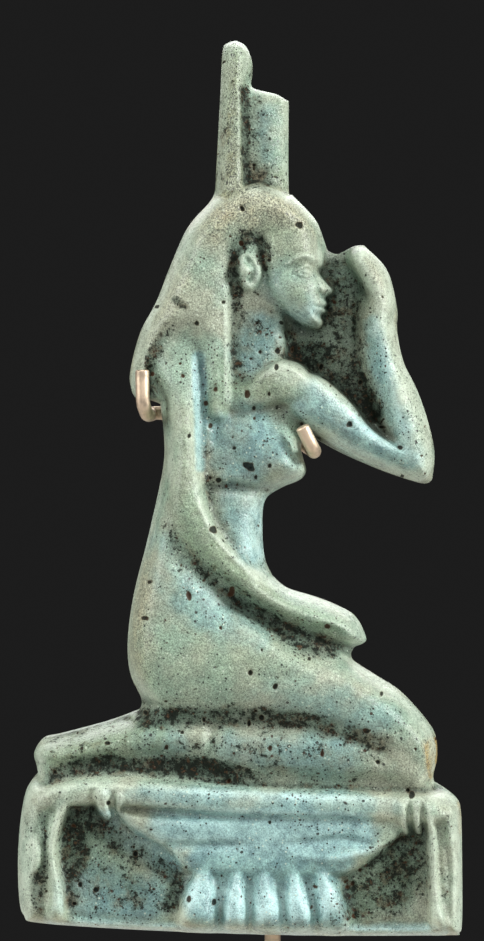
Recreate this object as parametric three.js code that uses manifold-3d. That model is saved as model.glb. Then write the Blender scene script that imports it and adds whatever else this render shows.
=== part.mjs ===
// Flat-backed faience amulet of a kneeling goddess on a collar-sign base, held by a wire mount on a foot.
// Millimetres, +Z up, the amulet faces -Y, and the origin lies under the middle of the foot.
// The amulet is drawn on its own sheet: u to the right, v up from its underside, t out from its flat back.
import * as THREE from "three";
import { mergeVertices } from "three/addons/utils/BufferGeometryUtils.js";
import Module from "manifold-3d";

const wasm = await Module();
wasm.setup();

// Sizes of the mount
const FOOT_WIDTH = 42;
const FOOT_DEPTH = 30;
const FOOT_HEIGHT = 6;
const FOOT_CHAMFER = 0.8;
const STEM_RADIUS = 0.65;
const HOOK_RADIUS = 0.55;
const STEM_STEPS = 22;
const HOOK_STEPS = 24;
const FREE_STEM = 18;
const SOCKET_DEPTH = 4;
const PIECE_GAP = 0.3;

// Where the amulet's sheet lies in the part frame
const STEM_U = 2.64;
const BACK_Y = -(STEM_RADIUS + PIECE_GAP);
const LIFT = FOOT_HEIGHT + FREE_STEM;

// Thicknesses and detail of the amulet
const WEB = 2.6;
const RIM = 2.3;
const EDGE_ROUND = 1.3;
const BLOCK_BACK = -4;
const BLOCK_WIDTH = 37.1;
const BLOCK_HEIGHT = 73.5;
const BLOCK_MID_V = 35.85;
const PRISM_DEPTH = 12;
const GRID = 0.7;
const SKIRT = 2.5;
const SPLINE_STEPS = 6;
const OUTLINE_STEPS = 3;

// Outline of the amulet, counter-clockwise from the toes, as smooth runs that meet at corners
const OUTLINE_RUNS = {
  base: [[-16.2, 13], [-17.1, 11.7], [-17.6, 9.2], [-17.8, 6.1], [-17.7, 3], [-17.3, 1.6], [-16, 1],
    [-7.2, 0.4], [4.8, 0], [16.4, 0], [17.5, 0.2], [17.8, 1.2], [17.8, 6], [17.7, 10], [17.2, 11.1],
    [15.6, 12.2]],
  knee: [[15.5, 12.9], [15.8, 14.2], [15.7, 15.9], [15, 17.2], [13, 19.4], [11.2, 20.6], [9.2, 21.9],
    [8.9, 22.6]],
  restingHand: [[9.2, 23.1], [9.9, 23.4], [10.1, 23.9], [9.3, 25.5], [7.8, 26.4], [6, 27.1], [3.8, 27.8],
    [2.6, 28.8]],
  waist: [[2, 30.2], [1.8, 32.5], [2, 34.8], [3.2, 35.8], [4.8, 36.5], [5.3, 37.2], [5.1, 38.1],
    [4.9, 39.2], [5.3, 40.2]],
  upperArm: [[6.1, 39.8], [8.3, 38.6], [11.3, 37.3], [13.6, 36.5], [14.9, 36.2], [15.4, 36.5]],
  forearm: [[15.6, 38.6], [15.1, 41.1], [14.2, 43.7], [13.1, 46], [12.6, 48.5], [12.6, 50.2], [11.8, 53.3],
    [9.9, 55.3]],
  webTop: [[9.1, 55.2], [7.8, 54.6], [7, 54.9]],
  wigFront: [[6.7, 55.8], [6.2, 57.1], [5.4, 58.1], [4.1, 59.4]],
  throneFront: [[3.9, 60], [3.9, 66.8]],
  throneBreak: [[2.9, 67.4], [1.3, 67.8], [0.9, 68.2], [1, 69.8], [0.5, 71.2], [-0.3, 71.7]],
  throneBack: [[-1, 71.5], [-1.4, 70.8], [-1.6, 67], [-2, 59.7]],
  wigBack: [[-2.4, 58.8], [-4.2, 56.7], [-5.6, 53.6], [-6.7, 50.8], [-8, 48.3], [-8.8, 45.2], [-8.7, 43.7],
    [-8.4, 43.1]],
  lappetFoot: [[-7.2, 42.9], [-6.4, 42.6]],
  back: [[-6.1, 40], [-6.2, 37.3], [-7.4, 31.8], [-8.5, 27.4], [-9, 23.7], [-8.8, 21], [-7.9, 18.9],
    [-8.1, 18]],
  foot: [[-10.5, 17.1], [-14.2, 16.1], [-15.8, 15.7], [-16.5, 14.6], [-16.3, 13.6], [-16.2, 13]],
};

// Limbs: stations of [u, v, half width, crest thickness] along a spine, then the thickness at their feet,
// the power that makes their section round or flat, and the width of the blend into what they meet
const LIMBS = {
  topBand: { stations: [[-15, 11.4, 1.2, 6.8], [-8, 11.7, 1.3, 7.2], [0, 11.2, 1.3, 7.3],
    [8, 10.7, 1.2, 7.3], [15.8, 10.6, 1.1, 7]], sink: 4, power: 3, blend: 0.4 },
  leftTie: { stations: [[-14.6, 10.6, 0.7, 6.8], [-14.9, 7.7, 0.5, 6.6], [-14.5, 1.9, 0.95, 6.8]],
    sink: 4.4, power: 2, blend: 0.4 },
  leftBorder: { stations: [[-16.6, 11, 0.9, 6.6], [-17.1, 7, 0.8, 6.4], [-17, 2.2, 0.8, 6.4]],
    sink: 4, power: 2.5, blend: 0.4 },
  rightTie: { stations: [[15.4, 9.6, 0.5, 6.6], [15.4, 5.3, 0.45, 6.5], [15.9, 1.4, 0.8, 6.6]],
    sink: 4.4, power: 2, blend: 0.4 },
  rightBorder: { stations: [[17, 10.2, 0.8, 6.8], [17.3, 6, 0.75, 6.8], [17.2, 1, 0.8, 6.6]],
    sink: 4, power: 2.5, blend: 0.4 },
  lowerBorder: { stations: [[-16, 1.4, 0.7, 6], [-2, 0.7, 0.7, 6], [16, 0.6, 0.7, 6.2]],
    sink: 4.2, power: 2, blend: 0.4 },
  foot: { stations: [[-15.2, 14.5, 0.95, 5.5], [-11.2, 15.3, 1.35, 6.1], [-7.2, 16, 1.8, 6.4],
    [-3.2, 15.8, 2, 6.3]], sink: 3.6, power: 2, blend: 0.5 },
  lowerLeg: { stations: [[-1.6, 15, 1.9, 6.9], [4.8, 14.7, 2, 7], [11.4, 14.2, 1.8, 6.7]],
    sink: 3.8, power: 2.4, blend: 0.5 },
  thigh: { stations: [[-5.4, 22.4, 3.6, 7.6], [-0.8, 22.6, 4.6, 8.2], [4.8, 20.8, 3.4, 8.2],
    [9.8, 18.6, 2.6, 7.8], [13, 16.4, 2.2, 7.4], [13.9, 14.4, 1.8, 6.8]],
    sink: 4.4, power: 2.2, blend: 0.8 },
  backAndHip: { stations: [[-4.6, 45.6, 2.2, 6.6], [-4.5, 41.3, 2.2, 7], [-4.6, 35, 2.6, 7],
    [-5, 29, 3.4, 7.5], [-5.2, 23.5, 4, 7.7], [-5, 20.6, 3, 7.2]], sink: 4.4, power: 2.5, blend: 0.8 },
  chest: { stations: [[0.4, 42.6, 3.6, 5.6], [1, 38.6, 3.9, 6], [0, 33, 2.9, 6.2], [-1, 28, 2.4, 6.4]],
    sink: 3.4, power: 3, blend: 0.8 },
  breast: { stations: [[2.4, 38.8, 2.2, 6.7], [3.6, 37.8, 1.8, 6.8]], sink: 4.4, power: 2, blend: 0.8 },
  neck: { stations: [[1.8, 49.6, 2.2, 4.8], [1.5, 44.8, 2.6, 5.1]], sink: 2.6, power: 2.5, blend: 0.6 },
  raisedUpperArm: { stations: [[0.8, 42.9, 1, 6], [3.6, 43.5, 1.8, 6.3], [6.4, 42.2, 2, 6.2],
    [9.2, 40, 1.55, 5.8], [12, 38.4, 1.35, 5.5], [14, 37.8, 1.4, 5.4]], sink: 3, power: 2.4, blend: 0.5 },
  raisedForearm: { stations: [[13.9, 37.9, 1.45, 5.4], [13.4, 40.9, 1.5, 5.6], [12.6, 43.7, 1.4, 5.6],
    [11.7, 46.9, 1.05, 5.3], [11.4, 49.4, 1.2, 5.2], [10.7, 52.1, 1.35, 5.2], [9.8, 53.9, 1.1, 5]],
    sink: 2.6, power: 2.4, blend: 0.4 },
  backLappet: { stations: [[-6.9, 48.9, 1, 6.4], [-7.8, 46.5, 0.9, 5.9], [-8, 43.8, 0.75, 5.4]],
    sink: 3, power: 2, blend: 0.3 },
  ear: { stations: [[0.6, 54.4, 0.8, 7.3], [0.9, 52.7, 0.7, 7]], sink: 4.6, power: 2, blend: 0.3 },
  restingArm: { stations: [[-4.8, 46.4, 1.6, 7], [-4.9, 43.9, 1.5, 7.9], [-4.8, 38.9, 1.5, 8.1],
    [-4.5, 35.7, 1.5, 8.3], [-3.8, 32.9, 1.6, 8.5], [-2, 29.9, 1.5, 8.6], [0.6, 27.7, 1.3, 8.4],
    [3.6, 26.2, 1.15, 8], [6.2, 25.6, 1.3, 7.6], [8.4, 24.7, 1.2, 7], [9.3, 24, 0.7, 6.4]],
    sink: 4.4, power: 2.2, blend: 0.5 },
  thronePost: { stations: [[-0.8, 60, 1.1, 5.6], [-0.75, 66, 1, 5.3], [-0.5, 70.4, 0.9, 4.8]],
    sink: 3, power: 4, blend: 0.3 },
};

// Masses: flat-topped forms inside a closed curve, with the thickness at their edge and at their top,
// the width of the round between the two, and the blend
const MASSES = {
  baseBlock: { edge: [[-16.4, 12.6], [-17.6, 9], [-17.8, 4], [-17.2, 1], [0, 0.2], [17, 0.1], [17.8, 2],
    [17.7, 10], [15.8, 12], [0, 12.4]], sink: 2, crest: 4.9, round: 1, blend: 0.5 },
  collarBowl: { edge: [[-10.2, 10.4], [-6.2, 7], [-3.4, 5.2], [7.2, 5.2], [10.6, 6.8], [13, 9.4],
    [8, 10.2], [0, 10.4]], sink: 4.4, crest: 6.7, round: 1.3, blend: 0.4 },
  face: { edge: [[6.5, 55.6], [6.7, 53.7], [6.4, 53.2], [7.5, 51.5], [6.8, 51], [7, 50.4], [6.4, 49.6],
    [6.6, 49], [5.9, 48.6], [4.2, 49.3], [2, 51], [1.4, 53.2], [1.6, 55.6]],
    sink: 2.6, crest: 6.4, round: 1.5, blend: 0.3 },
  wig: { edge: [[-2.2, 58.8], [-5.2, 54.4], [-7.6, 49], [-5.5, 48], [-2.9, 47.6], [-2.8, 42.6],
    [-1.7, 40.9], [-0.8, 41.6], [-0.9, 48], [-0.8, 54.4], [0.6, 56.2], [3.5, 55.9], [6.6, 55.3],
    [6.2, 57.1], [4, 59.2], [1, 60.2]], sink: 3.4, crest: 7.3, round: 2.2, blend: 0.5 },
  throneBlock: { edge: [[-2, 58.5], [-1.8, 63], [-1.4, 70.8], [-0.4, 71.7], [0.9, 70.6], [0.9, 68.2],
    [3.9, 67], [3.9, 60], [4.2, 58.5]], sink: 2.4, crest: 3.9, round: 0.5, blend: 0.3 },
};

// Beads under the collar, fanned out in a row
const BEAD_COUNT = 5;
const BEAD_TOP = { first: -2.2, last: 6.6, v: 5.4, halfWidth: 0.55, crest: 6.3 };
const BEAD_END = { first: -3.4, last: 7.8, v: 1.7, halfWidth: 1.12, crest: 7.2 };

function lerp(a, b, s) {
  return a + (b - a) * s;
}

function splinePoints(stations, first, second, closed) {
  const list = closed ? [...stations, stations[0]] : stations;
  const curve = new THREE.SplineCurve(list.map((p) => new THREE.Vector2(p[first], p[second])));
  return curve.getPoints(SPLINE_STEPS * (list.length - 1));
}

function nearestOnSegment(u, v, a, b) {
  const du = b.x - a.x;
  const dv = b.y - a.y;
  const s = THREE.MathUtils.clamp(((u - a.x) * du + (v - a.y) * dv) / (du * du + dv * dv || 1), 0, 1);
  return { s, distance: Math.hypot(u - a.x - s * du, v - a.y - s * dv) };
}

// Signed distance to a closed loop, positive inside
function insideDistance(u, v, loop) {
  let best = Infinity;
  let inside = false;
  loop.forEach((a, i) => {
    const b = loop[(i + 1) % loop.length];
    best = Math.min(best, nearestOnSegment(u, v, a, b).distance);
    if (a.y > v !== b.y > v && u < a.x + ((v - a.y) / (b.y - a.y)) * (b.x - a.x)) {
      inside = !inside;
    }
  });
  return inside ? best : -best;
}

function makeLimb({ stations, sink, power, blend }) {
  const spine = splinePoints(stations, 0, 1, false);
  const section = splinePoints(stations, 2, 3, false);
  const height = (u, v) => {
    let best = Infinity;
    let crest = sink;
    let width = 1;
    for (let i = 0; i + 1 < spine.length; i += 1) {
      const { s, distance } = nearestOnSegment(u, v, spine[i], spine[i + 1]);
      const half = lerp(section[i].x, section[i + 1].x, s);
      if (distance / half < best) {
        best = distance / half;
        crest = lerp(section[i].y, section[i + 1].y, s);
        width = half;
      }
    }
    const dome = Math.pow(1 - Math.pow(Math.min(best, 1), power), 1 / power);
    return sink + (crest - sink) * dome - SKIRT * Math.max(0, best - 1) * width;
  };
  return { height, blend };
}

function makeMass({ edge, sink, crest, round, blend }) {
  const loop = splinePoints(edge, 0, 1, true).slice(0, -1);
  const height = (u, v) => {
    const depth = insideDistance(u, v, loop);
    const short = 1 - THREE.MathUtils.clamp(depth / round, 0, 1);
    return sink + (crest - sink) * Math.sqrt(1 - short * short) + SKIRT * Math.min(depth, 0);
  };
  return { height, blend };
}

function makeBead(index) {
  const s = index / (BEAD_COUNT - 1);
  const [top, end] = [BEAD_TOP, BEAD_END].map((e) => [lerp(e.first, e.last, s), e.v, e.halfWidth, e.crest]);
  return makeLimb({ stations: [top, end], sink: 4.4, power: 2, blend: 0.3 });
}

function outlineShape() {
  const runs = Object.values(OUTLINE_RUNS).map((run) => run.map(([u, v]) => new THREE.Vector2(u, v)));
  const shape = new THREE.Shape();
  shape.moveTo(runs[0][0].x, runs[0][0].y);
  runs[0].shift();
  runs.forEach((run) => shape.splineThru(run));
  return shape;
}

// Thickness of the highest form at each place, softly joined, before the outline is rounded over
function makeThickness() {
  const beads = Array.from({ length: BEAD_COUNT }, (_, i) => makeBead(i));
  const forms = [...Object.values(MASSES).map(makeMass), ...Object.values(LIMBS).map(makeLimb), ...beads];
  return (u, v) => {
    let thickness = WEB;
    forms.forEach(({ height, blend }) => {
      const other = height(u, v);
      const overlap = Math.max(blend - Math.abs(thickness - other), 0) / blend;
      thickness = Math.max(thickness, other) + (overlap * overlap * blend) / 4;
    });
    return thickness;
  };
}

// Front surface: the thickness on a grid, softened with its neighbours and rounded over towards the outline
function makeFront(loop, columns, rows) {
  const thickness = makeThickness();
  const place = (i, count, length, middle) => middle + (i / count - 0.5) * length;
  const index = (at, count, length, middle) => Math.round(((at - middle) / length + 0.5) * count);
  const grid = Array.from({ length: columns + 1 }, (_, i) => Array.from({ length: rows + 1 }, (__, j) =>
    thickness(place(i, columns, BLOCK_WIDTH, 0), place(j, rows, BLOCK_HEIGHT, BLOCK_MID_V))));
  const clamped = (i, j) => grid[THREE.MathUtils.clamp(i, 0, columns)][THREE.MathUtils.clamp(j, 0, rows)];
  const acrossRow = (i, j) => (clamped(i - 1, j) + 2 * clamped(i, j) + clamped(i + 1, j)) / 4;
  const soft = (i, j) => (acrossRow(i, j - 1) + 2 * acrossRow(i, j) + acrossRow(i, j + 1)) / 4;
  return (u, v) => {
    const depth = insideDistance(u, v, loop) / EDGE_ROUND;
    const round = depth < 0 ? 2 * depth : 1 - Math.pow(1 - Math.min(depth, 1), 2);
    const height = soft(index(u, columns, BLOCK_WIDTH, 0), index(v, rows, BLOCK_HEIGHT, BLOCK_MID_V));
    return Math.max(RIM + (height - RIM) * round, BLOCK_BACK / 2);
  };
}

function solid(geometry) {
  const plain = geometry.index ? geometry.clone() : geometry;
  plain.deleteAttribute("normal");
  plain.deleteAttribute("uv");
  const welded = mergeVertices(plain, 1e-4);
  return new wasm.Manifold(new wasm.Mesh({
    numProp: 3,
    vertProperties: Float32Array.from(welded.attributes.position.array),
    triVerts: Uint32Array.from(welded.index.array),
  }));
}

function geometryOf(manifold) {
  const { vertProperties, triVerts } = manifold.getMesh();
  const geometry = new THREE.BufferGeometry();
  geometry.setAttribute("position", new THREE.BufferAttribute(Float32Array.from(vertProperties), 3));
  geometry.setIndex(new THREE.BufferAttribute(Uint32Array.from(triVerts), 1));
  geometry.computeVertexNormals();
  return geometry;
}

// Turns the drawing sheet upright and sets it in the part frame
function placeSheet(geometry) {
  return geometry.rotateX(Math.PI / 2).translate(-STEM_U, BACK_Y, LIFT);
}

function amuletGeometry() {
  const shape = outlineShape();
  const columns = Math.round(BLOCK_WIDTH / GRID);
  const rows = Math.round(BLOCK_HEIGHT / GRID);
  const front = makeFront(shape.getPoints(OUTLINE_STEPS), columns, rows);
  const block = new THREE.BoxGeometry(BLOCK_WIDTH, BLOCK_HEIGHT, 2, columns, rows, 1)
    .translate(0, BLOCK_MID_V, 0);
  const places = block.attributes.position;
  for (let i = 0; i < places.count; i += 1) {
    places.setZ(i, places.getZ(i) > 0 ? front(places.getX(i), places.getY(i)) : BLOCK_BACK);
  }
  const prism = new THREE.ExtrudeGeometry(shape, {
    depth: PRISM_DEPTH, bevelEnabled: false, curveSegments: OUTLINE_STEPS,
  });
  return geometryOf(solid(placeSheet(block)).intersect(solid(placeSheet(prism))));
}

// Round wire bent along sheet points [u, v, t]
function wire(points, radius, steps) {
  const path = new THREE.CatmullRomCurve3(
    points.map(([u, v, t]) => new THREE.Vector3(u - STEM_U, BACK_Y - t, v + LIFT)), false, "centripetal");
  const circle = new THREE.Shape().absarc(0, 0, radius, 0, 2 * Math.PI, false);
  return solid(new THREE.ExtrudeGeometry(circle, { steps, extrudePath: path, curveSegments: 5 }));
}

function mountWireGeometry() {
  const behind = BACK_Y;
  const stemFoot = FOOT_HEIGHT - SOCKET_DEPTH + PIECE_GAP - LIFT;
  const stem = wire([
    [STEM_U, stemFoot, behind], [STEM_U, -6, behind], [STEM_U, 4, behind], [STEM_U, 12, behind],
    [1, 22, behind], [-1, 30, behind], [-1.5, 37, behind], [-1.5, 41.6, behind],
  ], STEM_RADIUS, STEM_STEPS);
  const leftHook = wire([
    [-1.4, 41.2, behind], [-4, 41.4, behind], [-6.4, 41.6, behind], [-7.4, 41.6, -0.2], [-7.6, 41.6, 2.5],
    [-7.65, 41.6, 5.2], [-7.7, 42, 6.1], [-7.7, 42.8, 6.4], [-7.7, 45.2, 6.4],
  ], HOOK_RADIUS, HOOK_STEPS);
  const rightHook = wire([
    [-1.6, 40.6, behind], [1, 40.6, behind], [4, 40, behind], [5.5, 39.1, behind], [5.9, 38.8, 0.2],
    [5.9, 38.75, 3], [5.9, 38.8, 5.6], [5.7, 39.1, 6.8], [4.9, 40.7, 7.2],
  ], HOOK_RADIUS, HOOK_STEPS);
  return geometryOf(stem.add(leftHook).add(rightHook));
}

function mountFootGeometry() {
  const halfWidth = FOOT_WIDTH / 2 - FOOT_CHAMFER;
  const halfDepth = FOOT_DEPTH / 2 - FOOT_CHAMFER;
  const plan = new THREE.Shape([[-1, -1], [1, -1], [1, 1], [-1, 1]].map(
    ([i, j]) => new THREE.Vector2(i * halfWidth, j * halfDepth)));
  const plate = new THREE.ExtrudeGeometry(plan, {
    depth: FOOT_HEIGHT - 2 * FOOT_CHAMFER,
    bevelEnabled: true,
    bevelSize: FOOT_CHAMFER,
    bevelThickness: FOOT_CHAMFER,
    bevelSegments: 1,
  }).translate(0, 0, FOOT_CHAMFER);
  const socketRadius = STEM_RADIUS + PIECE_GAP;
  const socket = new THREE.CylinderGeometry(socketRadius, socketRadius, 2 * SOCKET_DEPTH, 16)
    .rotateX(Math.PI / 2).translate(0, 0, FOOT_HEIGHT);
  return geometryOf(solid(plate).subtract(solid(socket)));
}

function node(name, geometry, colour, roughness, metalness) {
  const material = new THREE.MeshStandardMaterial({ color: colour, roughness, metalness });
  const mesh = new THREE.Mesh(geometry, material);
  mesh.name = name;
  return mesh;
}

const group = new THREE.Group();
group.add(node("isis_amulet", amuletGeometry(), 0x9fc0b4, 0.5, 0));
group.add(node("mount_wire", mountWireGeometry(), 0xc8ab84, 0.35, 1));
group.add(node("mount_foot", mountFootGeometry(), 0xb59a72, 0.4, 1));

export default group;
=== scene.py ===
import math
from collections import namedtuple

import bmesh
import bpy
import numpy as np
from bpy.props import FloatProperty, FloatVectorProperty, IntProperty, PointerProperty
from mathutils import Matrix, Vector
from mathutils.geometry import delaunay_2d_cdt


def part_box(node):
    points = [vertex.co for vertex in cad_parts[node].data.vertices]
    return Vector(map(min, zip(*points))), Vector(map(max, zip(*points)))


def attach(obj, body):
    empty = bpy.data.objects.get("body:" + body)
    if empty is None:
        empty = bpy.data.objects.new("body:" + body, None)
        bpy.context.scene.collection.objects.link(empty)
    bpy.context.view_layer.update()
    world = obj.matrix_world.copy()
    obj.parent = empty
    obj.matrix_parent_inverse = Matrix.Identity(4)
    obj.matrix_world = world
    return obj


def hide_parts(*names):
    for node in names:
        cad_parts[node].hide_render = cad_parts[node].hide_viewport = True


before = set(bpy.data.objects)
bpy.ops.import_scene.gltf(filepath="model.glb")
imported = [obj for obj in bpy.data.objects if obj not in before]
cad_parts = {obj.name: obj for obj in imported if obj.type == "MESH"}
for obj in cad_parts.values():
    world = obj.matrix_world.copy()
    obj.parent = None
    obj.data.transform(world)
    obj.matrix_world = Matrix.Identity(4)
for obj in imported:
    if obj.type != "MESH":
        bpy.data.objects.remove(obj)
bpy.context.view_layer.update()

bl_info = {
    "name": "Faience amulet on a wire mount",
    "version": (1, 0, 0),
    "blender": (4, 5, 0),
    "location": "View3D > Sidebar > Amulet",
    "description": "Builds a relief amulet of worn blue-green faience, its wire mount and a studio stage",
    "category": "Add Mesh",
}

# The amulet is drawn on a sheet in millimetres: u to the right, v up from its underside, t out from its back
MM = 0.001
STEM_U = 2.64
BACK_Y = -0.95
LIFT = 24.0

# Grid of the sheet, and steps between the points that a curve runs through
SHEET_LOW = (-18.6, -0.8)
SHEET_HIGH = (18.6, 72.6)
SHEET_STEP = 0.08
SPLINE_STEPS = 8

# Mesh of the amulet: spacing of its points, rings of points inside the outline and levels of its walls
FRONT_STEP = 0.152
FACE_STEP = 0.085
FACE_LOW = (1.2, 48.0)
FACE_HIGH = (8.0, 56.6)
BACK_STEP = 0.9
BACK_CLEAR = 0.3
ROW_PITCH = 0.87
SHAKE = 0.12
LOOP_STEPS = 12
RIM_INSETS = (0.035, 0.09, 0.17)
RIM_CLEAR = RIM_INSETS[-1] + 0.09
RING_KEEP = 0.8
WALL_LEVELS = (1.6, 1.0, 0.5, 0.15, 0.0)

# Thickness of the ground and of the rim, the round above the rim, the fall of a form outside its own edge,
# and the blur that takes the hardness off the carving
WEB = 2.5
RIM = 2.3
EDGE_ROUND = 1.9
SKIRT = 2.5
FORM_BLUR = 0.13

# Kinds of form in the relief. A mass is a flat-topped form inside a closed edge, and a limb runs along
# stations of (u, v, half width, crest thickness). Both rise from a sink and blend with what lies beside them.
# A groove cuts along points of (u, v, strength), and raises a ridge where its depth is below nought. An ease
# softens the forms in a patch, given as stations of (u, v, half width, strength).
Mass = namedtuple("Mass", "edge sink crest rounding blend")
Limb = namedtuple("Limb", "stations sink power blend")
Groove = namedtuple("Groove", "points width depth")
Ease = namedtuple("Ease", "patch spread")

# Block of the base with its top band, the collar's bowl and the ground of the beads
BASE_FORMS = (
    Mass(((-16.4, 12.6), (-17.6, 9), (-17.8, 4), (-17.2, 1), (0, 0.2), (17, 0.1), (17.8, 2), (17.7, 10),
          (15.8, 12), (0, 12.4)), 2, 5, 1, 0.5),
    Limb(((-15.4, 11.2, 1, 6.6), (-12.4, 11.75, 1.15, 7), (-10, 11.8, 1.2, 7.1), (-7, 11.65, 1.25, 7.2),
          (-3.5, 11.3, 1.25, 7.3), (0, 11, 1.3, 7.3), (8, 10.65, 1.35, 7.3), (16.4, 10.4, 1.2, 7)),
         4.2, 3.2, 0.35),
    Mass(((-10.6, 10.6), (-8.6, 8.6), (-6, 7.2), (-3, 5), (7.2, 4.9), (10.8, 6.5), (12.9, 8.3),
          (13.4, 10), (8, 10.4), (0, 10.6)), 4.8, 6.7, 1.4, 0.8),
    Limb(((-2.8, 3.8, 1.6, 6.1), (2, 3.8, 2.8, 6.2), (6.6, 3.8, 1.6, 6.1)), 4.8, 2.6, 0.5),
)

# Beads as (u of the top, u of the foot, half width), all with one profile of
# (share of the top's u, share of the foot's u, v, share of the half width, crest thickness)
BEADS = ((-2.8, -3.2, 1.6), (-0.24, -0.35, 1.1), (1.8, 2.15, 1.3), (4.1, 4.65, 1.2), (6.25, 7.2, 1.35))
BEAD_PROFILE = (
    (1, 0, 6, 0.35, 6.5), (0.6, 0.4, 4.5, 0.6, 6.9), (0, 1, 2.5, 0.95, 7.4), (0, 1.03, 1.3, 1.05, 7.1),
)
BEAD_SHAPE = dict(sink=5.6, power=2, blend=0.2)

# Ties and borders round the base, and the lines on the bowl
FRAME_FORMS = (
    Limb(((-13.7, 11.6, 0.7, 6.9), (-14.25, 10.1, 0.6, 6.8), (-14.8, 8.2, 0.45, 6.7),
          (-14.9, 6.8, 0.42, 6.7), (-14.65, 5, 0.5, 6.8), (-14.5, 3.4, 0.65, 6.8),
          (-14.7, 1.6, 0.9, 6.8)), 5.2, 1.8, 0.5),
    Limb(((-16.3, 7.8, 0.6, 6.4), (-16.2, 6.6, 0.75, 6.6), (-16.4, 5.6, 0.5, 6.4)), 5.2, 2, 0.5),
    Limb(((-16.4, 11.2, 1, 6.5), (-17, 8, 0.85, 6.3), (-17.1, 4, 0.8, 6.3), (-16.7, 1.8, 0.9, 6.2)),
         5.2, 2.2, 0.6),
    Limb(((15.2, 9.6, 0.42, 6.6), (15.35, 5.3, 0.38, 6.5), (15.5, 2.9, 0.5, 6.6), (16, 0.9, 1, 6.6)),
         5.2, 2, 0.5),
    Limb(((16.8, 10.4, 0.9, 6.9), (17.3, 6, 0.72, 6.8), (17.3, 0.9, 0.8, 6.6)), 5.2, 2.2, 0.6),
    Limb(((-16, 1.3, 0.55, 6), (-2, 0.6, 0.5, 5.9), (16, 0.5, 0.55, 6.2)), 4.4, 2, 0.4),
    Limb(((-15.6, 10, 0.9, 6), (-15.75, 5, 0.9, 5.9), (-15.6, 2, 0.9, 5.9)), 5, 2.4, 0.4),
    Limb(((16.2, 9.6, 0.7, 6), (16.35, 5, 0.7, 5.9), (16.5, 1.6, 0.7, 5.9)), 5, 2.4, 0.4),
    Groove(((-8.4, 10.2, 0.2), (-6, 9.95, 1), (0, 9.8, 1), (6, 9.75, 1), (9.6, 9.6, 1),
            (12.2, 9.3, 0.4)), 0.2, 0.26),
    Groove(((-4.4, 8.9, 1), (-1.6, 8.9, 1)), 0.9, -0.22),
    Groove(((4, 6.8, 0.3), (7.2, 6.6, 0.8), (9.4, 7, 1), (11, 7.4, 0.6)), 0.4, -0.4),
    Groove(((-5.8, 7.6, 0.6), (-4, 7.6, 1), (-1.5, 7.6, 1), (1.2, 7.6, 0.2)), 0.28, 0.45),
    Groove(((3.4, 7.6, 0.2), (6, 7.9, 1), (8.4, 8.1, 1), (10.4, 7.6, 0.4)), 0.28, 0.45),
)

# Ribs of the ties across the top band as stations, and the gaps between them as (u, upper v, lower v)
RIBS = (
    ((-10.9, 11.7, 0.8, 7.6), (-10.75, 10.8, 0.75, 7.3), (-10.5, 10, 0.45, 6.8)),
    ((-9.5, 11.6, 0.45, 7.5), (-9.6, 10.9, 0.42, 7.2), (-9.7, 10.4, 0.3, 6.8)),
    ((12.85, 10.8, 0.45, 7.5), (12.95, 9.6, 0.5, 7.2), (13.2, 8.5, 0.25, 6.4)),
    ((13.85, 10.8, 0.45, 7.5), (14, 9.5, 0.5, 7.2), (14.2, 8.4, 0.25, 6.4)),
    ((14.8, 10.7, 0.4, 7.3), (14.95, 9.4, 0.4, 7), (15.1, 8.4, 0.25, 6.4)),
)
RIB_SHAPE = dict(sink=4.8, power=2, blend=0.4)
RIB_GAPS = ((-11.75, 11.8, 10.4), (-10, 11.6, 10.3), (13.4, 10.9, 9.2), (14.4, 10.8, 9))
RIB_GAP_SHAPE = dict(width=0.26, depth=0.4)

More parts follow.
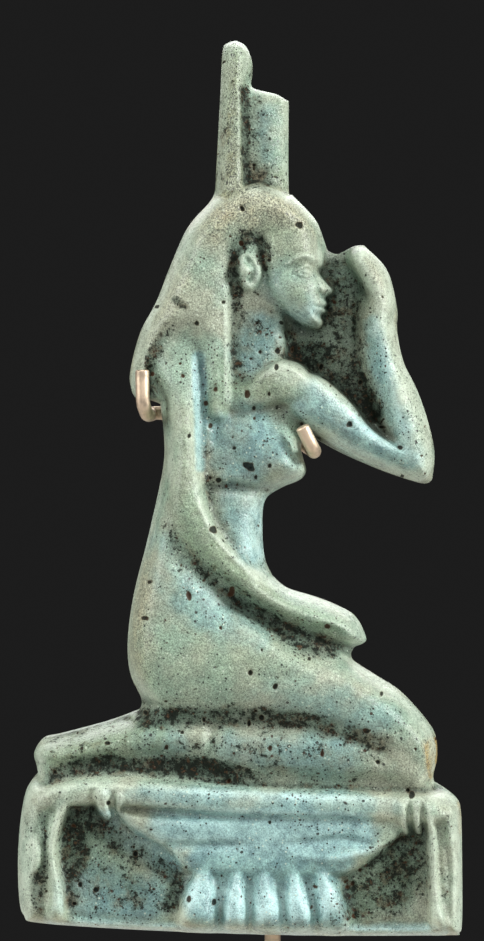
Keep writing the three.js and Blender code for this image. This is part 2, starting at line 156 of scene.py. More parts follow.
# The kneeling figure and the throne sign
FIGURE_FORMS = (
    # ground behind the legs, foot, lower leg and thigh
    Limb(((-15.2, 13.2, 1.2, 4.9), (-8, 13.8, 2, 5.6), (0, 14.4, 3.4, 6), (8, 14.3, 3.3, 6),
          (14.4, 13, 1.7, 5.7)), 3, 3, 0.5),
    Limb(((-7.6, 17.5, 1.1, 6), (-3, 17.8, 1.3, 6.3), (2, 17.8, 1.3, 6.5), (7, 17, 1.3, 6.6),
          (11, 15.6, 1.2, 6.6)), 4, 2.4, 0.6),
    Limb(((-15.4, 14.5, 0.9, 5.5), (-12.6, 15, 1.15, 6), (-9.6, 15.6, 1.5, 6.4), (-6, 16, 1.8, 6.7),
          (-3.2, 15.8, 2, 6.7)), 3.8, 2, 0.5),
    Limb(((-1, 15.3, 2, 6.9), (4.8, 15, 2.1, 7.2), (9.4, 14.5, 1.9, 7), (12.4, 14, 1.5, 6.6)),
         4.4, 2.4, 0.5),
    Limb(((-4.4, 22.4, 4.4, 7.6), (-1, 22.2, 4.3, 8), (4.4, 20.9, 3.5, 8.2), (9, 19, 2.8, 8),
          (12.2, 16.9, 2.3, 7.6), (13.6, 15.2, 2, 7.1), (13.8, 13.9, 1.7, 6.5)), 5.2, 2.2, 1.2),
    Groove(((-2.85, 17, 0.6), (-2.85, 15.6, 1), (-2.9, 14.2, 0.5)), 0.25, -0.3),
    Ease(((-15, 13.6, 0.9, 0.9), (-6, 13.6, 1, 0.9), (4, 12.9, 0.8, 0.8), (13.5, 12.4, 0.7, 0.7)), 0.5),
    Ease(((-7.6, 17.6, 0.8, 0.7), (0, 17.8, 0.9, 0.9), (8, 16.8, 0.9, 0.9)), 0.45),
    # back and hip, chest and belly, breast with the crease under it, neck
    Limb(((-5.2, 46.6, 2.6, 6.2), (-4.7, 43.5, 2.9, 6.8), (-4.6, 40, 2.6, 6.7), (-4.6, 36, 2.2, 7),
          (-4.6, 32, 3, 7.5), (-4.7, 27, 4.3, 7.8), (-4.5, 23.2, 5, 7.8)), 4.8, 2.2, 1.2),
    Limb(((-0.2, 43.4, 3.4, 5.4), (0.4, 39.6, 4.4, 5.9), (0, 36, 3.6, 6.1), (-0.6, 32.5, 2.9, 6.2),
          (-1, 29, 2.6, 6.4)), 4.4, 2.6, 0.8),
    Limb(((1.2, 39.4, 2.2, 6.2), (3, 38.2, 2.4, 7.1), (3.8, 37.7, 1.8, 7.2)), 4.6, 2, 0.9),
    Groove(((-2.6, 35.8, 0.6), (-0.8, 36, 1), (1.4, 35.7, 1), (3.4, 35.4, 1), (4.8, 35.6, 0.6)),
           0.45, 0.7),
    Limb(((0.2, 55.4, 1.9, 6.3), (0.6, 51.5, 2.7, 5.8), (0.7, 47, 2.9, 5.5), (0.6, 44.4, 2.9, 5.4)),
         3.4, 3, 0.7),
    # raised arm: upper arm, forearm, hand
    Limb(((-0.6, 43, 1.2, 6), (1.4, 43.4, 1.35, 6.4), (3.4, 44.25, 1.85, 6.9), (4.5, 43.5, 1.7, 6.6),
          (5.7, 42.8, 1.95, 6.5), (7.5, 41.4, 1.85, 6.1), (9.1, 40, 1.45, 5.8), (10.8, 38.9, 1.25, 5.6),
          (12.4, 38.2, 1.3, 5.5), (14, 37.7, 1.4, 5.4)), 3.2, 3, 0.5),
    Limb(((14, 37.8, 1.5, 5.4), (13.7, 40.4, 1.6, 5.7), (12.9, 43.4, 1.5, 5.7), (11.9, 46.6, 1.25, 5.5),
          (11.2, 48.6, 1.35, 5.4), (10.9, 49.6, 1.3, 5.1)), 2.8, 2.2, 0.4),
    Limb(((10.2, 50, 0.8, 4.2), (10.6, 47.4, 1.2, 4.5), (11.6, 43.8, 1.4, 4.6), (12.6, 40.4, 1.2, 4.7)),
         2.7, 1.6, 1),
    Limb(((11.3, 49, 1.1, 5.1), (11.4, 51, 1.15, 5.3), (10.7, 52.9, 1.2, 5.2), (9.7, 54.2, 1, 4.8)),
         2.8, 2.4, 0.7),
    Ease(((9.7, 50.9, 0.5, 0.8), (10.1, 50, 0.8, 1), (10.2, 49, 0.5, 0.8)), 0.6),
    Groove(((0.2, 44.5, 0.5), (2.2, 45, 0.8), (3.4, 45.7, 1.3), (4.6, 45, 0.8), (6.6, 44.2, 0.6)),
           0.35, -0.3),
    Groove(((-0.6, 41.75, 0.6), (1.8, 41.95, 1), (4, 42.6, 1), (5.6, 43.6, 0.5)), 0.32, 0.3),
    # face, wig with both lappets, ear
    Mass(((2, 57.8), (5.6, 57.6), (6.6, 55.8), (6.75, 54.4), (6.6, 53.6), (6.35, 53.15), (6.9, 52.3),
          (7.5, 51.55), (6.85, 51.05), (7, 50.55), (6.8, 50.25), (6.85, 49.95), (6.45, 49.55),
          (6.6, 49.05), (6, 48.6), (4.2, 49.2), (2.2, 50.8), (1.4, 53), (1.2, 56)), 2.6, 6.6, 1.5, 0.3),
    Mass(((-2, 59), (-4, 56.6), (-6, 52.4), (-7.6, 49.2), (-8.5, 46.4), (-8.7, 44), (-8, 43),
          (-7.1, 43.4), (-6.7, 45.2), (-6.2, 46.8), (-5.4, 47.6), (-4.2, 47.8), (-3.2, 46.8),
          (-3.15, 45), (-3.1, 42.6), (-2.6, 41.2), (-1.2, 41.1), (-0.75, 42.4), (-0.65, 46),
          (-0.65, 51), (-0.45, 53.6), (0.2, 55), (1.6, 55.8), (4, 56.2), (6.8, 55.8), (6.4, 57.1),
          (4.6, 59), (1.2, 60)), 4.9, 7, 1.9, 0.5),
    Groove(((-7.2, 49, 0.2), (-7.9, 46.6, 0.8), (-7.9, 44.2, 1), (-7.8, 42.8, 1)), 1.2, 1.1),
    Groove(((-0.7, 52.6, 0.3), (-1, 51, 0.7), (-1.02, 48, 1), (-1, 45, 1), (-1.05, 42.6, 0.6)),
           0.3, -0.45),
    Ease(((2.2, 57, 1.2, 0.9), (4.4, 56.2, 1.7, 1), (6.2, 55.6, 1.2, 0.8)), 0.6),
    Limb(((0.5, 53.8, 0.9, 7), (0.8, 53, 1.05, 7.2), (0.65, 52.1, 0.7, 6.8)), 5, 2.4, 0.2),
    Groove(((0.55, 53.9, 1), (1.05, 53.2, 1), (0.8, 52.4, 1)), 0.32, 0.7),
    # resting arm, the creases round it and the crisp upper edge of its forearm
    Limb(((-4.9, 46.2, 1.9, 6.5), (-4.8, 43.6, 1.65, 7.4), (-4.7, 40, 1.5, 8), (-4.6, 36.5, 1.5, 8.1),
          (-4.1, 33.6, 1.65, 8), (-3.2, 31.6, 1.7, 7.8)), 4.8, 2.4, 0.45),
    Limb(((-4.3, 34.6, 1.6, 7.8), (-3.3, 31.9, 1.8, 7.9), (-1.5, 29.8, 1.8, 7.9), (0.7, 28.1, 1.6, 7.8),
          (3, 26.9, 1.45, 7.6), (5.2, 26.1, 1.5, 7.4), (7.4, 25.3, 1.4, 7.1), (8.9, 24.4, 1, 6.6)),
         5.2, 1.7, 0.5),
    Groove(((-7.2, 43.2, 0.6), (-7, 45.6, 1), (-6.6, 47.4, 0.8), (-5.6, 48.6, 0.4), (-4.2, 48.9, 0.3),
            (-3.2, 48, 0.3), (-2.95, 45, 0.5), (-2.95, 41, 0.6), (-2.8, 37, 0.6)), 0.3, 0.4),
    Ease(((-6.4, 46.6, 0.9, 0.8), (-5.2, 47.2, 1.5, 1), (-3.8, 46.8, 1, 0.9)), 0.7),
    Ease(((-6.4, 44.6, 0.5, 1), (-6.2, 42.6, 0.6, 1), (-6.1, 40.4, 0.6, 1)), 0.5),
    Groove(((2, 24.8, 0.6), (4.4, 23.2, 1), (6.4, 22.3, 0.9), (8, 21.9, 0.5)), 0.8, 0.5),
    Groove(((-5.6, 32.6, 0.2), (-4.4, 30.2, 0.5), (-2.2, 28.1, 0.6), (0.4, 26.8, 0.8), (2.2, 25.4, 1),
            (4.4, 23.9, 1), (6.6, 22.9, 1), (8.4, 22.5, 0.6)), 1, 1),
    Ease(((-2.4, 28.4, 0.9, 0.7), (0.4, 26.6, 1, 0.8), (3.6, 24.9, 1, 0.9), (7.4, 23.5, 0.8, 0.8)),
         0.55),
    Groove(((-4.2, 33.4, 0.3), (-3.2, 31, 1), (-1.6, 29.2, 1), (0.2, 27.9, 0.6)), 0.75, 0.35),
    Groove(((6.2, 25, 0.4), (7.4, 24.6, 1), (8.2, 24.3, 0.7)), 0.35, 0.5),
    Groove(((-3.35, 38, 0.4), (-3.2, 35.5, 0.8), (-2.7, 33.6, 1), (-1.3, 31.4, 1), (0.7, 29.5, 1),
            (3, 28, 0.8), (5.4, 27, 0.5)), 0.34, -0.6),
    # throne sign
    Mass(((-2, 58.5), (-1.8, 63), (-1.5, 70.6), (-0.5, 71.8), (0.9, 70.8), (0.95, 68.3), (2.6, 67.8),
          (4, 66.9), (4, 62), (4.2, 58.5)), 2.4, 4.3, 0.6, 0.3),
    Limb(((-0.8, 59.6, 1.1, 5.8), (-0.8, 63, 1, 5.4), (-0.72, 67, 0.95, 5.3), (-0.4, 70.4, 1, 4.9)),
         3, 5, 0.25),
)

# Fine lines of the face
FACE_LINES = (
    Groove(((4.6, 52.95, 0.7), (5.3, 53.05, 1), (5.95, 52.95, 0.8)), 0.55, 0.4),
    Groove(((4.75, 52.95, 0.8), (5.25, 53, 1), (5.7, 52.95, 0.8)), 0.3, -0.36),
    Groove(((4.2, 52.85, 0.5), (4.8, 53.28, 1), (5.4, 53.4, 1), (5.95, 53.1, 0.8)), 0.11, -0.2),
    Groove(((4.6, 52.7, 0.6), (5.2, 52.58, 1), (5.8, 52.75, 0.7)), 0.1, -0.14),
    Groove(((3.9, 53.6, 0.7), (4.8, 54.15, 1), (5.7, 54.15, 1), (6.4, 53.75, 0.7)), 0.2, -0.26),
    Groove(((4.1, 51.7, 1), (4.7, 51.4, 1)), 1, -0.32),
    Groove(((6.15, 52.3, 0.6), (6.25, 51.5, 1), (6.55, 51.15, 0.8)), 0.2, 0.34),
    Groove(((6.6, 51.4, 1), (6.75, 51.3, 0.8)), 0.22, -0.28),
    Groove(((6.95, 50.27, 1), (6.5, 50.22, 1), (6, 50.3, 0.5)), 0.13, 0.42),
    Groove(((6.85, 50.55, 1), (6.3, 50.45, 0.6)), 0.17, -0.22),
    Groove(((6.8, 49.97, 1), (6.3, 50, 0.6)), 0.18, -0.26),
    Groove(((5.9, 49.15, 1), (6.3, 49.05, 1)), 0.4, -0.25),
)

# Where earth has stayed, and where the glaze is blue, sandy ochre, olive green or pale, the pale patches
# being partly worn glaze and partly painted highlights along ridges and edges: patches along stations of
# (u, v, half width, strength), which fade out at so many half widths
DIRT = (
    ((7.8, 53.6, 0.8, 0.5), (8.4, 51, 1.7, 0.65), (8.2, 47, 2.2, 0.75), (9.6, 43.8, 1.4, 0.95),
     (11, 41.8, 0.6, 1.1)),
    ((-5.2, 50.8, 0.35, 0.8), (-4.4, 50.2, 0.3, 0.8)),
    ((-0.5, 52.6, 0.6, 0.8), (-0.4, 54.6, 0.7, 0.9), (0.6, 55.6, 0.7, 0.9), (1.7, 55.2, 0.6, 0.8),
     (2.1, 53.4, 0.6, 0.7)),
    ((-0.3, 52, 0.7, 0.8), (-0.3, 49, 0.6, 0.7), (-0.3, 46, 0.7, 0.7), (0.6, 44.6, 0.9, 0.5)),
    ((2.6, 47.6, 1.4, 0.4), (4.6, 46.6, 1.2, 0.8), (6.4, 46.6, 1.4, 1)),
    ((-7.2, 43.4, 0.6, 0.8), (-6.8, 46.6, 0.6, 0.8), (-5, 48.6, 0.5, 0.3)),
    ((-2.9, 46.5, 0.4, 0.15), (-2.6, 41, 0.5, 0.25), (-2.2, 36, 0.6, 0.45), (-1.2, 32.5, 0.6, 0.4),
     (0.6, 30.2, 0.5, 0.3)),
    ((1.2, 48, 1.8, 0.52), (0.4, 42, 2.6, 0.2), (0.4, 37.6, 2.6, 0.25)),
    ((-1.6, 36, 0.5, 0.5), (2, 35.7, 0.4, 0.4)),
    ((-5.6, 32.8, 0.7, 0.5), (-4.6, 30.6, 0.9, 0.7), (-1, 28, 0.9, 0.7), (1.6, 26, 1, 0.7),
     (4.4, 24, 1.1, 0.85), (7.2, 23, 0.8, 0.85)),
    ((-7.6, 17.6, 0.9, 1), (0, 17.8, 0.9, 0.95), (6, 17.4, 0.9, 0.8), (11.2, 15.6, 1, 0.65)),
    ((-8, 14.6, 1.4, 0.5), (2, 14.6, 1.8, 0.5), (10, 14.2, 1.7, 0.45)),
    ((-14.4, 14.9, 1.2, 0.42), (-9, 15.8, 1.6, 0.42)),
    ((-15, 13, 0.6, 0.7), (-12.5, 13.8, 0.8, 1.1), (-10, 14, 0.8, 1.15), (-8, 13.8, 0.7, 1),
     (-5.5, 13.8, 0.9, 1.25), (-2, 13.6, 0.9, 1.3), (0.6, 13.1, 0.7, 0.9), (2.5, 12.7, 0.5, 0.5)),
    ((-3, 12.8, 0.25, 0.9), (0, 12.5, 0.25, 0.9), (4, 12.3, 0.25, 0.6), (14.6, 11.9, 0.25, 0.5)),
    ((-8.8, 4, 0.5, 0.8), (-8, 2.6, 0.5, 0.8)),
    ((9, 4.6, 0.6, 0.7), (12, 7.2, 0.7, 0.9), (13.8, 8.2, 0.6, 0.9)),
    ((-13, 9.4, 1, 1), (-13, 7, 1.3, 1), (-13.4, 3, 0.6, 0.6)),
    ((-12.6, 9.6, 1.1, 1), (-10.4, 8.2, 1.1, 0.9), (-7.6, 6.4, 1, 0.7), (-5.2, 4.8, 0.7, 0.9),
     (-5.6, 2.8, 0.7, 0.9)),
    ((-12, 5, 2.4, 0.5), (-8.4, 3.4, 1.8, 0.65)),
    ((9, 2.8, 1.8, 0.7), (12.4, 4.6, 2.4, 0.9), (13.8, 8, 1, 0.8)),
    ((-15.6, 9.8, 0.4, 0.7), (-15.5, 6.6, 0.25, 0.7), (-15.9, 4.8, 0.6, 0.8), (-16.1, 2.2, 0.6, 0.6)),
    ((-16.8, 9.6, 0.5, 0.6), (-16.7, 8.4, 0.5, 0.6)),
    ((16.3, 9.6, 0.5, 0.4), (16.3, 8, 0.3, 0.1), (16.3, 2.2, 0.4, 0.4)),
    ((0.4, 67.6, 0.4, 1), (0.45, 62.6, 0.5, 0.9), (0.8, 60.2, 0.9, 0.7)),
    ((1.2, 66.6, 0.9, 0.55), (1.4, 63, 1, 0.5), (1.6, 60.4, 1.5, 0.65)),
    ((-0.9, 70, 1, 0.25), (-0.9, 64, 1, 0.4), (-0.6, 60, 1.2, 0.45)),
)
BLUE = (
    ((1.6, 48.6, 1.8, 0.6), (1, 46.4, 1.8, 0.5)),
    ((-1.4, 40.8, 1.4, 0.6), (-1.6, 38, 1.2, 0.6)),
    ((0.6, 41, 2, 0.5), (0.4, 39, 2.6, 0.6), (0.2, 36, 2.2, 0.6), (0.8, 31, 1.6, 0.5)),
    ((-3, 6.3, 1.4, 0.8), (2, 6.2, 1.4, 0.8), (8, 6.4, 1.4, 0.7)),
    ((-15, 0.8, 0.8, 0.5), (0, 0.5, 0.8, 0.5), (16, 0.6, 0.8, 0.5)),
    ((-12, 4, 2.6, 0.6), (-8, 3, 2.2, 0.6)),
    ((-10.5, 9.6, 1.2, 0.5), (-8, 7.6, 1.4, 0.6), (-5.5, 5.8, 1.2, 0.6)),
    ((-10, 11.4, 1, 0.35), (0, 11.2, 1.1, 0.45), (12, 10.8, 1, 0.35)),
    ((2.4, 65.4, 1.2, 0.4), (2.4, 62, 1, 0.3)),
    ((2.4, 38.6, 1.6, 0.5), (3.6, 37.6, 1.2, 0.35)),
    ((5.6, 42.8, 1.8, 0.5), (9.6, 40, 1.4, 0.6), (13.4, 38.2, 1.4, 0.4)),
    ((-6, 9, 1.8, 0.6), (2, 8.6, 2.2, 0.9), (9, 8.6, 1.8, 0.7)),
    ((-2, 3.4, 2.4, 0.9), (6.4, 3.4, 2.4, 0.9)),
    ((0, 15.2, 1.8, 0.4), (8, 14.8, 1.8, 0.4)),
    ((3.6, 51.4, 2.6, 0.4), (5, 50, 1.6, 0.5)),
    ((-6.6, 31, 1.8, 0.25), (-5, 28, 2.2, 0.3), (-1.4, 25.4, 2, 0.35), (1.4, 23.8, 1.2, 0.4)),
    ((2, 19.6, 1.8, 0.3), (6, 19.4, 2.2, 0.32), (10.4, 17.6, 1.8, 0.35)),
    ((10.4, 49, 0.8, 0.4), (10.9, 46, 1, 0.45), (11.8, 42.6, 1, 0.45), (12.8, 39.8, 1, 0.4)),
    ((-3.3, 46.2, 0.5, 0.6), (-3.1, 42, 0.55, 0.8), (-3.1, 37.5, 0.5, 0.7)),
    ((-7.4, 15.6, 1.6, 0.4), (-5, 15.6, 1.4, 0.4)),
)
OCHRE = (
    ((-0.8, 59, 1.4, 0.8), (-0.9, 64, 1.2, 1), (-0.8, 67, 1, 0.7), (-0.4, 70.6, 1, 0.4)),
    ((-2, 58, 2, 0.8), (3, 58.4, 1.8, 0.7), (6, 57, 1, 0.6)),
    ((-2, 56.6, 1.6, 0.5), (0.8, 57.2, 1.4, 0.4)),
    ((-5, 53, 1.4, 0.5), (-7.8, 48, 1.2, 0.6), (-8.2, 44, 0.8, 0.5)),
    ((10.4, 54.3, 0.5, 0.5), (12, 51, 0.5, 0.6), (12.4, 47, 0.5, 0.6), (13.8, 43, 0.5, 0.6),
     (15.1, 39.4, 0.5, 0.5)),
    ((-7.6, 33, 0.8, 0.5), (-8.6, 26, 1.4, 0.6), (-8.4, 21, 1.4, 0.5)),
    ((15.3, 15.3, 0.8, 1.7), (15.5, 13.2, 0.7, 1.7)),
    ((17.5, 10.6, 0.3, 1.5), (17.6, 8.4, 0.25, 1.4)),
)
GREEN = (
    ((-4.6, 42, 1.2, 0.5), (-4.4, 36, 1.2, 0.6), (-3.4, 32.2, 1.4, 0.9), (-1.6, 29.8, 1.2, 1),
     (0.4, 28.2, 0.9, 0.9)),
    ((0.8, 27.6, 1, 0.7), (4, 26, 1.1, 0.6), (7, 25, 1.2, 0.7)),
    ((-0.4, 43.6, 0.9, 0.7), (2, 43.8, 1, 0.7), (4.4, 43.4, 1, 0.4)),
    ((-1.6, 45.6, 0.9, 0.7), (-1.8, 42, 0.8, 0.7)),
    ((-14.6, 9.6, 0.7, 0.5), (-14.7, 5, 0.5, 0.8), (-14.6, 1.8, 0.8, 0.8)),
    ((-14.6, 14.7, 1.1, 0.9), (-12.4, 15.2, 1.3, 1), (-7, 16, 1.6, 0.8)),
    ((-0.8, 60, 1.2, 0.5), (-0.6, 70, 1, 0.6)),
    ((4.4, 51.2, 1.3, 0.6), (3, 55.6, 1.4, 0.5)),
    ((3.2, 66, 0.8, 0.5), (3.2, 61, 0.8, 0.6)),
    ((-12.6, 7.6, 1.8, 0.6), (-9, 5.6, 1.6, 0.5)),
    ((9.4, 3.4, 1.8, 0.8), (12.6, 5.4, 2, 0.8)),
    ((-6, 22, 2.6, 0.35), (-1, 22.4, 2.4, 0.4), (4, 21.6, 1.8, 0.3)),
)
# Pale patches: partly worn glaze, partly painted highlights along lit edges of the arms, lappet, belly,
# borders and top band
PALE = (
    ((14.2, 38.4, 1.2, 0.6), (13.5, 42, 1.1, 0.9), (12.1, 46.5, 0.8, 0.8), (11.3, 51, 0.8, 0.5)),
    ((-17.2, 10, 0.9, 1.3), (-17.2, 2, 0.9, 1.4)),
    ((-14.4, 10.4, 0.6, 0.6), (-14.75, 7, 0.5, 0.9), (-14.55, 2, 0.7, 0.8)),
    ((17.2, 10, 0.6, 0.7), (17.3, 1.6, 0.6, 0.8)),
    ((15.25, 9.6, 0.4, 0.7), (15.4, 5, 0.4, 0.8), (15.8, 1.4, 0.6, 0.8)),
    ((-16, 1, 0.5, 0.6), (0, 0.5, 0.5, 0.7), (16, 0.6, 0.5, 0.7)),
    ((-3.2, 3.6, 0.9, 0.8), (2.2, 2.8, 1.2, 0.9), (7, 3.4, 0.9, 0.8)),
    ((1.2, 34, 1, 0.9), (1.1, 31.5, 1, 0.9), (1.7, 29.6, 0.6, 0.8)),
    ((-3.6, 46, 0.3, 0.4), (-3.45, 42, 0.35, 0.8), (-3.4, 38, 0.3, 0.8), (-2.7, 33.6, 0.3, 0.6),
     (0.7, 29.5, 0.3, 0.6), (3.2, 28, 0.3, 0.5)),
    ((-0.95, 52, 0.2, 0.3), (-0.95, 48.6, 0.25, 1), (-0.9, 45.2, 0.25, 1.1), (-1, 42.6, 0.25, 0.5)),
    ((-4.6, 54, 1.2, 0.3), (-6.6, 50.4, 1, 0.35), (-7.9, 46.6, 0.7, 0.4)),
    ((-5.2, 43, 0.8, 0.35), (-5.2, 37, 0.7, 0.35)),
    ((3.4, 44.7, 0.7, 0.7), (5.8, 44.2, 0.7, 0.6), (8.6, 41.8, 0.6, 0.5)),
    ((-12, 11.9, 0.4, 0.5), (0, 11.4, 0.4, 0.4), (12, 10.9, 0.4, 0.4)),
    ((-6, 8.8, 1.2, 0.4), (2, 8.4, 1.6, 0.5), (10, 8.6, 1.2, 0.4)),
)
PATCHES = {"dirt": DIRT, "blue": BLUE, "ochre": OCHRE, "green": GREEN, "pale": PALE}
PATCH_FADE = 1.5

# Masks of the walls and the back: an even strength, the share that is left of the blue, and the wear of edges
BACK_MASKS = {"dirt": 0.25, "ochre": 0.25, "green": 0.2}
BACK_BLUE = 0.3
BACK_EDGE = 0.6
EDGE_WIDTH = 0.7

# Weathering: reach of the hollows and crevices that gather earth, where the hollows also get a painted shade,
# waves of the surface as (height, size), and dents of the back
HOLLOW_REACH = 1.1
CREVICE_REACH = 0.35
WAVES = ((0.06, 1.3), (0.02, 0.3))
BACK_DENT = 0.05
BACK_DENT_SIZE = 1.6

# Pits in the glaze: larger ones as (u, v, radius), and the chance, size and ragged edge of the scattered ones
LARGE_PITS = (
    (4.64, 56.7, 0.34), (0.24, 57.9, 0.2), (0.56, 43.2, 0.3), (0.8, 37.5, 0.27), (-2.3, 40.8, 0.22),
    (-1.92, 43.7, 0.24), (-7.44, 25.6, 0.28), (-4, 27.4, 0.26), (-2.1, 32.5, 0.3), (-0.64, 27.8, 0.32),
    (2.72, 20.2, 0.22), (8.64, 40.9, 0.26), (6.48, 14.9, 0.26), (10.88, 14.2, 0.26), (-6.6, 50.3, 0.2),
    (-6.9, 44.9, 0.28), (12.8, 39.1, 0.2), (6.9, 24.9, 0.3), (-4.72, 45.7, 0.18), (-4.5, 44.7, 0.2),
    (-2.72, 42.6, 0.2), (-4, 40, 0.13), (-1.68, 36.5, 0.24), (-3.4, 48.9, 0.2),
)
PIT_DEPTH = 0.22
PIT_RADIUS = 0.09
PIT_RADIUS_SPREAD = 0.15
PIT_CHANCE = 0.2
PIT_RARITY = 2.2
PIT_REACH = 2.5
PIT_SQUASH = 0.75
PIT_SQUASH_SPREAD = 0.5
PIT_RAGGED = 0.25
PIT_RAGGED_SIZE = 0.14

# Mount wires as points of (u, v, t), their radii, and the rounding of their ends in radii
STEM_RADIUS = 0.65
HOOK_RADIUS = 0.55
BEHIND = BACK_Y
STEM_PATH = (
    (STEM_U, -21.7, BEHIND), (STEM_U, -6, BEHIND), (STEM_U, 4, BEHIND), (STEM_U, 12, BEHIND), (1, 22, BEHIND),
    (-1, 30, BEHIND), (-1.5, 37, BEHIND), (-1.5, 41.6, BEHIND),
)
LEFT_HOOK_PATH = (
    (-1.4, 41.2, BEHIND), (-4, 41.5, BEHIND), (-6.5, 41.9, BEHIND), (-7.25, 41.75, -0.3), (-7.35, 41.7, 2.5),
    (-7.4, 41.75, 5), (-7.5, 42.05, 6), (-7.68, 42.8, 6.4), (-7.74, 45.2, 6.4),
)
RIGHT_HOOK_PATH = (
    (-1.6, 40.6, BEHIND), (1, 40.6, BEHIND), (4, 40, BEHIND), (5.5, 39.1, BEHIND), (5.9, 38.8, 0.2),
    (5.9, 38.75, 3), (5.9, 38.8, 5.6), (5.7, 39.1, 6.8), (4.9, 40.7, 7.2),
)
WIRE_SIDES = 20
WIRE_STEPS = 10
WIRE_END_LENGTH = 0.18
WIRE_END_SIZE = 0.82

# Rounded edges of the foot
FOOT_BEVEL = 0.8
FOOT_BEVEL_SEGMENTS = 4
FOOT_BEVEL_PROFILE = 0.6

# Tarnish of the wire and the foot: size of its patches, their brightness against the clean metal, and the
# size of the fine streaks in it
WIRE_PATCH = 1.4
WIRE_DULLNESS = 0.5
FOOT_PATCH = 16.0
FOOT_DULLNESS = 0.82
STREAK = 0.3

# Colours of the faience in display values from 0 to 255
COLOURS = {
    "worn green": (142, 166, 146), "light glaze": (140, 178, 172), "sand": (154, 144, 112),
    # the two pale tones of the worn glaze also serve as painted highlights
    "rust": (152, 126, 62), "olive": (127, 150, 120), "rub_and_highlight": (204, 218, 197),
    "blue rub and highlight": (203, 238, 236), "green soil": (76, 94, 80), "brown soil": (90, 86, 68),
    "black grit": (24, 30, 23), "brown grit": (78, 57, 39), "black speck": (20, 22, 17),
    "brown speck": (64, 42, 28), "painted glint": (216, 228, 208), "black pit": (12, 14, 10),
    "brown pit": (66, 42, 27), "pit rim": (88, 74, 54),
}

# Sizes of the noise in the faience, its dark specks as (cell size, reach in cells, rarity, turn to brown),
# and how many waves to a cell bend the edges of all its specks, by how much of a cell
CLOUD = 5.0
PATCH = 1.2
GRAIN = 0.3
SAND = 0.12
CRUMB = 0.7
GRIT = 0.5
# cell size of the painted glints, pale dots that stand in for tiny highlights
PAINTED_GLINT_SIZE = 0.26
SPECKS = ((0.22, 0.4, 0.955, 0.56), (0.36, 0.3, 0.95, 0.54), (0.6, 0.24, 0.94, 0.5), (1.5, 0.14, 0.92, 0.5))
SPOT_WAVES = 2.5
SPOT_SHIFT = 0.3

# Stage: lights as (name, place in metres from the middle of the amulet, size, power), floor and surroundings
LIGHTS = (
    ("key", (0.5, -0.18, 0.22), 0.12, 3.8),
    ("side", (-0.5, -0.18, 0.22), 0.32, 2.7),
    ("front", (0.05, -0.55, 0.3), 0.3, 1.05),
    ("top", (0.0, -0.1, 0.5), 0.22, 1.2),
    ("low", (0.0, -0.5, -0.04), 0.3, 0.15),
    ("behind", (0.0, 0.5, 0.3), 0.4, 1.6),
)
FLOOR_TONES = ((0.4, 0.395, 0.38, 1), (0.44, 0.435, 0.42, 1))
FLOOR_PATCH = 60
FLOOR_SIDES = 96
FLOOR_ROUGHNESS = 0.8
WORLD_COLOUR = (0.012, 0.012, 0.012, 1)

# Camera: middle of the picture on the sheet, its height there and the sheet depth that it is measured at
VIEW_U = 0.16
VIEW_V = 37.24
VIEW_T = 3.0
VIEW_HEIGHT = 75.28
CLIP_START = 0.01


def spline(points, steps):
    """Smooth curve through the points, with so many steps between neighbours."""
    p = np.asarray(points, float)
    q = np.vstack([p[:1], p, p[-1:]])
    s = (np.arange(steps) / steps)[:, None]
    runs = []
    for a, b, c, d in zip(q, q[1:], q[2:], q[3:]):
        square = 2 * a - 5 * b + 4 * c - d
        cube = 3 * b - a - 3 * c + d
        runs.append(0.5 * (2 * b + (c - a) * s + square * s**2 + cube * s**3))
    return np.vstack(runs + [p[-1:]])


def soften(field, sigma):
    """Gaussian blur of a grid, sigma in cells."""
    reach = max(1, int(3 * sigma + 0.5))
    weights = np.exp(-0.5 * (np.arange(-reach, reach + 1) / sigma) ** 2)
    weights /= weights.sum()
    for axis in (0, 1):
        padding = [(0, 0), (0, 0)]
        padding[axis] = (reach, reach)
        wide = np.pad(field, padding, mode="edge")
        field = sum(w * np.take(wide, range(i, i + field.shape[axis]), axis) for i, w in enumerate(weights))
    return field


def nearest_share(u, v, start, step):
    """How far along a segment its nearest place to each point lies, from 0 to 1."""
    along = (u - start[0]) * step[0] + (v - start[1]) * step[1]
    return np.clip(along / max(step @ step, 1e-12), 0, 1)


def loop_distance(u, v, loop):
    """Distance to a closed loop, positive inside and negative outside."""
    nearest = np.full(u.shape, np.inf)
    inside = np.zeros(u.shape, bool)
    for a, b in zip(loop, np.roll(loop, -1, axis=0)):
        step = b - a
        s = nearest_share(u, v, a, step)
        nearest = np.minimum(nearest, (u - a[0] - s * step[0]) ** 2 + (v - a[1] - s * step[1]) ** 2)
        if step[1]:
            inside ^= ((a[1] > v) != (b[1] > v)) & (u < a[0] + (v - a[1]) / step[1] * step[0])
    return np.where(inside, 1, -1) * np.sqrt(nearest)


